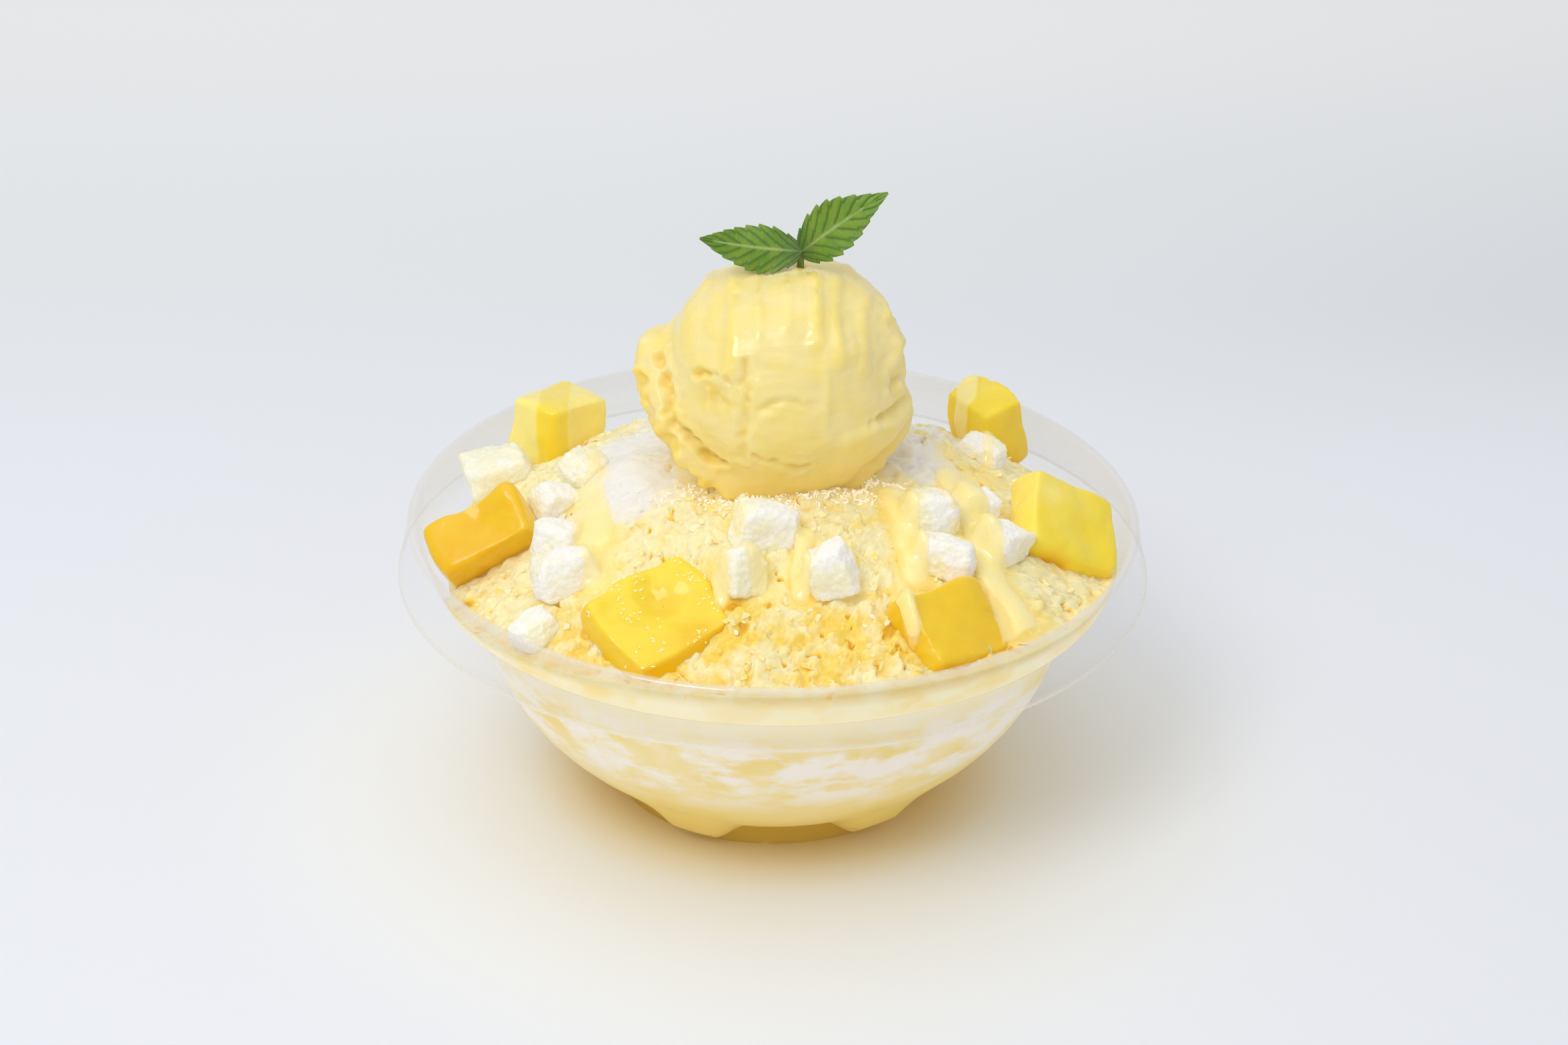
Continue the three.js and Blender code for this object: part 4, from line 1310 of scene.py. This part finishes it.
def rice_cake(settings):
    """Soft rice cake under a coat of starch that has come off in places."""
    shader = Shader("rice_cake")
    bare = (shader.grain(4, 3.0) + shader.attribute("bare") * 0.5).step(0.52, 0.75)
    specks = shader.grain(0.9, 3.0, rough=0.7)
    powder = shader.mix(specks.step(0.3, 0.6), srgb(243, 240, 231), settings.rice)
    base = shader.mix(bare * 0.8, powder, srgb(246, 241, 208))
    normal = shader.bump(specks, 0.5, 0.8)
    return shader.done(
        Base_Color=base, Roughness=0.75 - bare * 0.45, Normal=normal,
        **seeping(0.4, (1.0, 0.95, 0.85), 2.0), **glowing(base, 0.08),
    )


BARE_CAKES = ("mochi_1", "mochi_4", "mochi_8")  # rice cakes that have lost most of their starch
FACETS = 6


def chipped(points, seed):
    """Presses flat facets on a lump, each square to a way of its own."""
    draw = np.random.default_rng(seed)
    middle = points.mean(axis=0)
    for _ in range(FACETS):
        way = unit(draw.normal(0, 1, 3))
        height = (points - middle) @ way
        limit = height.max() * draw.uniform(0.78, 0.92)
        points = points - np.outer(np.maximum(height - limit, 0) * 0.9, way)
    return points


class DESSERT_OT_rice_cakes(bpy.types.Operator):
    """Shapes the powdered rice cakes from their CAD solids"""

    bl_idname = "dessert.rice_cakes"
    bl_label = "Rice cakes"

    def execute(self, context):
        settings = context.scene.dessert_fruit
        cake = rice_cake(settings)
        nodes = sorted(n for n in frame["nodes"] if n.startswith("mochi_"))
        for node in nodes:
            seed = 100 + int(node.split("_")[1])
            piece = merged_copy(node, node.replace("mochi", "rice_cake"))
            crease_edges(piece, *CAKE_CREASE)
            modify(piece, "SUBSURF", levels=ROUNDING, render_levels=ROUNDING)
            move_points(piece, chipped(points_of(piece), seed))
            modify(piece, "SMOOTH", factor=0.5, iterations=5)
            points = points_of(piece)
            normal = normals_of(piece)
            dents = 0.6 * noise(points, 5.0, seed) - 0.3 * np.abs(noise(points, 3.2, seed + 20))
            powder = 0.26 * noise(points, 1.1, seed + 40) + 0.14 * noise(points, 0.6, seed + 60)
            move_points(piece, points + normal * (0.6 + dents + powder)[:, None])
            paint(piece, bare=np.clip(noise(points, 7, seed + 80), 0, 1) + (node in BARE_CAKES) * 0.5)
            finish_piece(piece, cake, [node])
        return {"FINISHED"}


# --- cream runs -------------------------------------------------------------

FILM_REACH = 80.0
FILM_EDGE = 84.0  # no cream lies further out than this
FILM_CELL = 0.45
FILM_BODY = 1.8
FILM_VOXEL = 0.5
FILM_RISE = 1.6  # height of a run of thickness 1 over what it lies on
FILM_SINK = 0.5  # how far its edge sinks in, so that it ends in a soft lip


def mango_cream(settings):
    """Thick glossy mango cream."""
    shader = Shader("mango_cream")
    base = shader.mix(shader.grain(6, 2.0), settings.cream, srgb(252, 239, 178))
    normal = shader.bump(shader.grain(3, 2.0), 0.3, 0.3)
    body = shader.attribute("body").step(0.08, 1.6) * 0.88
    return shader.done(
        Base_Color=base, Roughness=0.1, Normal=normal, IOR=1.4, Coat_Weight=1.0, Coat_Roughness=0.03,
        **seeping(0.25, (1.0, 1.0, 0.7), 0.5), **glowing(base, 0.08), Alpha=body,
    )


def softened(heights, cells):
    """Blurs a grid of heights, with places that have no height left out."""
    known = np.isfinite(heights)
    total, weight = np.where(known, heights, 0), known.astype(float)
    steps = np.arange(-3 * cells, 3 * cells + 1)
    kernel = np.exp(-((steps / cells) ** 2))
    for axis in (0, 1):
        total = sum(k * np.roll(total, step, axis) for k, step in zip(kernel, steps))
        weight = sum(k * np.roll(weight, step, axis) for k, step in zip(kernel, steps))
    return total / np.maximum(weight, 1e-6)


class DESSERT_OT_sauce(bpy.types.Operator):
    """Drapes the mango cream over the ice and the toppings"""

    bl_idname = "dessert.sauce"
    bl_label = "Mango cream"

    def execute(self, context):
        settings = context.scene.dessert_sauce
        bare = ("bowl_shell", "ice_cream_ball")
        tree = surface([o for o in bpy.data.objects if o.get("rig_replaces") and o.name not in bare])
        side = int(2 * FILM_REACH / FILM_CELL)
        film = flat_grid("cream_runs", 2 * FILM_REACH * MM, side, side)
        points = points_of(film)
        share, rise = poured(points[:, 0], points[:, 1])
        heights = np.full(len(points), np.nan)
        for i in np.nonzero(share > -1.5)[0]:
            spot, _ = fall(tree, points[i, 0], points[i, 1])
            if spot is not None:
                heights[i] = spot[2]
        grid = heights.reshape(side + 1, side + 1)
        level = np.fmax(grid - 0.3, softened(grid, 3))
        bed = (grid + (level - grid) * smooth(share, 0, 0.45).reshape(grid.shape)).ravel()
        unwanted = (share <= -0.2) | ~np.isfinite(bed) | (np.hypot(points[:, 0], points[:, 1]) > FILM_EDGE)
        lift = FILM_RISE * settings.thickness * rise - FILM_SINK * (1 - smooth(share, 0, 0.3))
        points[:, 2] = np.where(unwanted, 0, bed + lift)
        move_points(film, points)
        delete_points(film, unwanted)
        modify(film, "SMOOTH", factor=0.5, iterations=4)
        modify(film, "SOLIDIFY", thickness=FILM_BODY * MM, offset=-1)
        modify(film, "REMESH", mode="VOXEL", voxel_size=FILM_VOXEL * MM)
        modify(film, "SMOOTH", factor=0.6, iterations=6)
        points = points_of(film)
        paint(film, body=poured(points[:, 0], points[:, 1])[1])
        film.visible_shadow = False  # thin cream lets the light through to the ice under it
        finish_piece(film, mango_cream(settings))
        return {"FINISHED"}


# --- mint -------------------------------------------------------------------

LEAVES = (
    {
        "name": "left", "base": (6.2, 3.2, 143.3), "tip": (-18.8, -3.0, 149.0), "across": (0.2, 0.75, 0.75),
        "width": 12.5, "arch": 1.4, "fold": 1.0, "waves": 0.5,
    },
    {
        "name": "right", "base": (5.4, 3.8, 142.4), "tip": (26.6, 0.0, 160.4), "across": (-0.6, 0.55, 0.6),
        "width": 14.0, "arch": 1.8, "fold": 1.2, "waves": 0.6,
    },
)
LEAF_TEETH = 8
LEAF_FULLEST = 0.65
LEAF_THICKNESS = 0.35
LEAF_CELLS = (112, 40)
VEINS = 7
STEM = ((5.6, 5.0, 131.0), (5.8, 3.6, 142.8))
STEM_RADIUS = 0.9
STEM_BEVEL = 0.2


def shape_leaf(leaf, points):
    """Bends a flat grid of side 2 to a toothed, quilted leaf, and says how deep its veins are."""
    base, tip, across = (np.array(leaf[key], float) for key in ("base", "tip", "across"))
    run = tip - base
    length = np.linalg.norm(run)
    ahead = run / length
    side = unit(across - ahead * np.dot(across, ahead))
    up = np.cross(ahead, side)
    t = (points[:, 0] + 1) / 2
    u = points[:, 1]
    saw = (t * LEAF_TEETH) % 1.0
    tooth = 1 - 0.15 * (1 - saw) * smooth(t, 0.02, 0.12)
    half = 0.25 + leaf["width"] / 2 * np.sin(np.pi * t**LEAF_FULLEST) * tooth
    lean = 0.55 * np.abs(u) ** 3 / LEAF_TEETH * np.sin(np.pi * t)
    branch = (t - 0.34 * np.abs(u) * (1 - 0.4 * t)) * VEINS % 1.0
    vein = np.exp(-(((np.minimum(branch, 1 - branch)) / 0.13) ** 2)) * smooth(np.abs(u), 0.03, 0.12)
    rib = np.exp(-((u / 0.055) ** 2))
    quilt = 0.34 * (1 - vein) * (1 - np.abs(u) ** 3) - 0.3 * rib
    wave = leaf["waves"] * np.abs(u) * np.sin(11 * t + 2 * u)
    lift = (leaf["arch"] + leaf["fold"] * u * u + wave) * np.sin(np.pi * t) + quilt * np.sin(np.pi * t) ** 0.5
    place = base + np.outer(length * (t + lean * (1 - t)), ahead)
    place += np.outer(half * u, side) + np.outer(lift, up)
    return place, vein, rib, t


def mint_leaf(settings):
    """A mint leaf: bright between dark sunken veins, with a pale midrib."""
    shader = Shader("mint_leaf")
    vein, rib, foot = (shader.attribute(name) for name in ("vein", "rib", "foot"))
    tone = shader.grain(3.5, 3.0)
    base = shader.mix(tone.step(0.3, 0.7), settings.leaf, srgb(126, 156, 40))
    base = shader.mix(vein * 0.75, base, settings.vein)
    base = shader.mix(rib * 0.8, base, settings.midrib)
    base = shader.mix(foot * 0.55, base, srgb(46, 76, 38))
    normal = shader.bump(shader.grain(0.6, 3.0) - vein * 0.8, 0.25, 0.6)
    return shader.done(Base_Color=base, Roughness=0.42, Normal=normal, **seeping(0.15, (0.6, 1.0, 0.2), 0.6))


class DESSERT_OT_mint(bpy.types.Operator):
    """Grows the two mint leaves and their stem"""

    bl_idname = "dessert.mint"
    bl_label = "Mint"

    def execute(self, context):
        settings = context.scene.dessert_mint
        green = mint_leaf(settings)
        for leaf in LEAVES:
            piece = flat_grid("mint_leaf_" + leaf["name"], 2, *LEAF_CELLS)
            place, vein, rib, t = shape_leaf(leaf, points_of(piece) * MM)
            move_points(piece, place)
            paint(piece, vein=vein, rib=rib * (1 - smooth(t, 0.75, 1)), foot=1 - smooth(t, 0.02, 0.3))
            modify(piece, "SOLIDIFY", thickness=LEAF_THICKNESS * MM, offset=0)
            finish_piece(piece, green, ["mint_sprig"])
        foot, top = (Vector(end) for end in STEM)
        run = top - foot
        stem = primitive(
            "cylinder", "mint_stem", vertices=16, radius=STEM_RADIUS * MM, depth=run.length * MM,
            location=(foot + top) / 2 * MM, rotation=run.to_track_quat("Z", "Y").to_euler(),
        )
        with editing(stem):
            bpy.ops.mesh.bevel(offset=STEM_BEVEL * MM, segments=2)
        bpy.ops.object.transform_apply(location=True, rotation=True)
        paint(stem, vein=0, rib=0.5, foot=0.6)
        finish_piece(stem, green, ["mint_sprig"])
        return {"FINISHED"}


# --- loose bits -------------------------------------------------------------

FLAKE_CORNERS = 5
FLAKE_FIELD = 88
FLAKE_REACH = 86
FLAKE_THICKNESS = 0.25
CRYSTAL_PLACES = ((-20, -22, 9), (-8, -25, 8), (6, -24, 9), (20, -21, 8), (27, -14, 6))  # x, y, spread
CRYSTALS = 75  # at each place
CRYSTAL_LIFT = np.array([0, 0, 0.3])
FROST_SPECKS = 90
TOUCH = 0.01  # a piece is uppermost where its surface is this close to the top one
LOOSE_SEED = 11
FLAT_SIDES = 35  # degrees between faces up to which a flake is shaded smooth
ROUND_SIDES = 60  # the same for a speck of frost


def ball_shape():
    """Points and faces of a small ball of radius 1."""
    ball = primitive("ico_sphere", "ball_shape", subdivisions=1, radius=1)
    points = np.array([v.co for v in ball.data.vertices])
    faces = np.array([p.vertices[:] for p in ball.data.polygons])
    bpy.data.objects.remove(ball)
    return points, faces


def flake_template():
    """A flat plate with a ragged outline, of length 2 and thickness 1: points and faces."""
    turn = np.arange(FLAKE_CORNERS) * 2 * math.pi / FLAKE_CORNERS
    ring = np.stack([np.cos(turn), 0.55 * np.sin(turn), np.zeros(FLAKE_CORNERS)], axis=1)
    points = np.vstack([ring + [0, 0, 0.5], ring - [0, 0, 0.5]])
    faces = []
    for i in range(FLAKE_CORNERS):
        j = (i + 1) % FLAKE_CORNERS
        faces += [(i, FLAKE_CORNERS + i, FLAKE_CORNERS + j), (i, FLAKE_CORNERS + j, j)]
        if 0 < i < FLAKE_CORNERS - 1:
            faces += [(0, i, i + 1), (FLAKE_CORNERS, FLAKE_CORNERS + i + 1, FLAKE_CORNERS + i)]
    return points, faces


def turned(draw, tilt):
    """A random turn about Z after a tilt of up to so many radians."""
    spin, lean, way = draw.uniform(0, 2 * math.pi), draw.uniform(0, tilt), draw.uniform(0, 2 * math.pi)
    axis = Vector((math.cos(way), math.sin(way), 0))
    return np.array(Matrix.Rotation(lean, 3, axis) @ Matrix.Rotation(spin, 3, "Z"))


def ice_flake(settings):
    """A loose flake of ice: pale, wet and translucent."""
    shader = Shader("ice_flake")
    base = shader.mix(shader.grain(5, 3.0).step(0.3, 0.6), settings.soaked, srgb(248, 236, 196))
    return shader.done(
        Base_Color=base, Roughness=0.25, IOR=1.33, **seeping(0.3, (1.0, 1.0, 0.8), 0.6), **glowing(base, 0.14)
    )


def on_top(everything, own, x, y):
    """Where a drop lands and the normal there, or nothing if it misses the piece of the second tree."""
    spot, normal = fall(everything, x, y)
    bare, _ = fall(own, x, y)
    covered = spot is None or bare is None or abs(spot[2] - bare[2]) > TOUCH
    return (None, None) if covered else (spot, normal)


def lying_flakes(draw, template, everything, ice, count):
    """Flakes that lie flat on soaked ice, each given by its points."""
    copies = []
    while len(copies) < count:
        x, y = draw.uniform(-FLAKE_FIELD, FLAKE_FIELD, 2)
        if math.hypot(x, y) > FLAKE_REACH:
            continue
        spot, normal = on_top(everything, ice, x, y)
        size = draw.uniform(0.5, 1.5) * (1.4 if draw.random() < 0.12 else 1.0)
        ragged = draw.uniform(0.5, 1.3, (FLAKE_CORNERS, 1))
        turn = turned(draw, 0.6)
        snow = marked(DRY_PLACES, np.array([x]), np.array([y]))[0] > 0.3
        if snow or spot is None:
            continue
        lean = np.array(Vector((0, 0, 1)).rotation_difference(Vector(normal)).to_matrix())
        flat = template * np.array([size, size * 1.3, FLAKE_THICKNESS])
        flat[:, :2] *= np.tile(ragged, (2, 1))
        flat[:, 2] += 0.22 * flat[:, 0] ** 2 / size
        copies.append(flat @ turn.T @ lean.T + spot + lean[:, 2] * size * 0.04)
    return copies


def standing_crystals(draw, template, ice):
    """Ice crystals at the foot of the ball, each given by its points."""
    copies = []
    for left, back, spread in CRYSTAL_PLACES:
        for x, y in draw.normal((left, back), (spread * 0.6, spread * 0.2), (CRYSTALS, 2)):
            spot, _ = fall(ice, x, y)
            stretch = np.array([draw.uniform(0.35, 0.95), draw.uniform(0.35, 0.6), FLAKE_THICKNESS])
            copies.append(template * stretch @ turned(draw, 1.5).T + spot + CRYSTAL_LIFT)
    return copies


def frosted(draw, template, everything, cube):
    """Specks of frost on top of the front left cube, each given by its points."""
    low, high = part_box("mango_cube_front_left")
    copies = []
    while len(copies) < FROST_SPECKS:
        x, y = draw.uniform(low.x, high.x) / MM, draw.uniform(low.y, high.y) / MM
        spot, _ = on_top(everything, cube, x, y)
        turn = turned(draw, 0.5)
        if spot is None or noise(np.array([[x, y, 0.0]]), 5.5, 140)[0] <= -0.15:
            continue
        stretch = np.array([draw.uniform(0.3, 0.75), draw.uniform(0.2, 0.3), 0.2])
        copies.append(template * stretch @ turn.T + spot)
    return copies


def glint(name, mottling, first, second, strength):
    """A pale speck that glows faintly: its name, how its two colours mix, and how strongly it glows."""
    shader = Shader(name)
    grain = shader.grain(2, 2.0)
    base = shader.mix(grain.step(*mottling) if mottling else grain, first, second)
    return shader.done(Base_Color=base, Roughness=0.4, **glowing(base, strength))


class DESSERT_OT_loose_bits(bpy.types.Operator):
    """Scatters loose flakes, ice crystals and frost"""

    bl_idname = "dessert.loose_bits"
    bl_label = "Flakes, crystals and frost"

    def execute(self, context):
        settings = context.scene.dessert_ice
        draw = np.random.default_rng(LOOSE_SEED)
        shown = [o for o in bpy.data.objects if o.get("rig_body") and not o.hide_render]
        everything = surface([o for o in shown if o.name != "bowl_shell"])
        ice, cube = (surface([bpy.data.objects[name]]) for name in ("ice_heap", "mango_front_left"))
        plate, plate_faces = flake_template()
        ball, ball_faces = ball_shape()
        lying = lying_flakes(draw, plate, everything, ice, settings.flakes)
        standing = standing_crystals(draw, plate, ice)
        specks = frosted(draw, ball, everything, cube)
        crystal = glint("ice_crystal", (0.3, 0.6), srgb(251, 236, 204), srgb(255, 252, 244), 0.16)
        frost = glint("frost", None, srgb(255, 242, 176), srgb(255, 250, 216), 0.1)
        for name, copies, faces, material, angle in (
            ("ice_flakes", lying, plate_faces, ice_flake(settings), FLAT_SIDES),
            ("ice_crystals", standing, plate_faces, crystal, FLAT_SIDES),
            ("frost_specks", specks, ball_faces, frost, ROUND_SIDES),
        ):
            finish_piece(repeated(name, copies, faces), material, angle=angle)
        return {"FINISHED"}


# --- panel and registration -------------------------------------------------

SETTINGS = {
    "dessert_bowl": BowlSettings,
    "dessert_ice": IceSettings,
    "dessert_sauce": SauceSettings,
    "dessert_scoop": ScoopSettings,
    "dessert_fruit": FruitSettings,
    "dessert_mint": MintSettings,
    "dessert_stage": StageSettings,
}
OPERATORS = (
    DESSERT_OT_stage,
    DESSERT_OT_bowl,
    DESSERT_OT_ice,
    DESSERT_OT_scoop,
    DESSERT_OT_mango,
    DESSERT_OT_rice_cakes,
    DESSERT_OT_sauce,
    DESSERT_OT_mint,
    DESSERT_OT_loose_bits,
)


class DESSERT_PT_panel(bpy.types.Panel):
    """Lists the settings and the pieces of the dessert"""

    bl_idname = "DESSERT_PT_panel"
    bl_label = "Mango Shaved Ice"
    bl_space_type = "VIEW_3D"
    bl_region_type = "UI"
    bl_category = "Dessert"

    def draw(self, context):
        for operator in OPERATORS:
            self.layout.operator(operator.bl_idname)
        for name, group in SETTINGS.items():
            box = self.layout.box()
            for field in group.__annotations__:
                box.prop(getattr(context.scene, name), field)


def register():
    """Registers the settings, the operators and the panel."""
    for name, group in SETTINGS.items():
        bpy.utils.register_class(group)
        setattr(bpy.types.Scene, name, PointerProperty(type=group))
    for item in (*OPERATORS, DESSERT_PT_panel):
        bpy.utils.register_class(item)


def unregister():
    """Takes the panel, the operators and the settings out again."""
    for item in (DESSERT_PT_panel, *reversed(OPERATORS)):
        bpy.utils.unregister_class(item)
    for name, group in SETTINGS.items():
        delattr(bpy.types.Scene, name)
        bpy.utils.unregister_class(group)


def main():
    """Builds the whole dessert."""
    register()
    bpy.ops.dessert.stage()
    bpy.ops.dessert.bowl()
    bpy.ops.dessert.ice()
    bpy.ops.dessert.scoop()
    bpy.ops.dessert.mango()
    bpy.ops.dessert.rice_cakes()
    bpy.ops.dessert.sauce()
    bpy.ops.dessert.mint()
    bpy.ops.dessert.loose_bits()


if __name__ == "__main__":
    main()
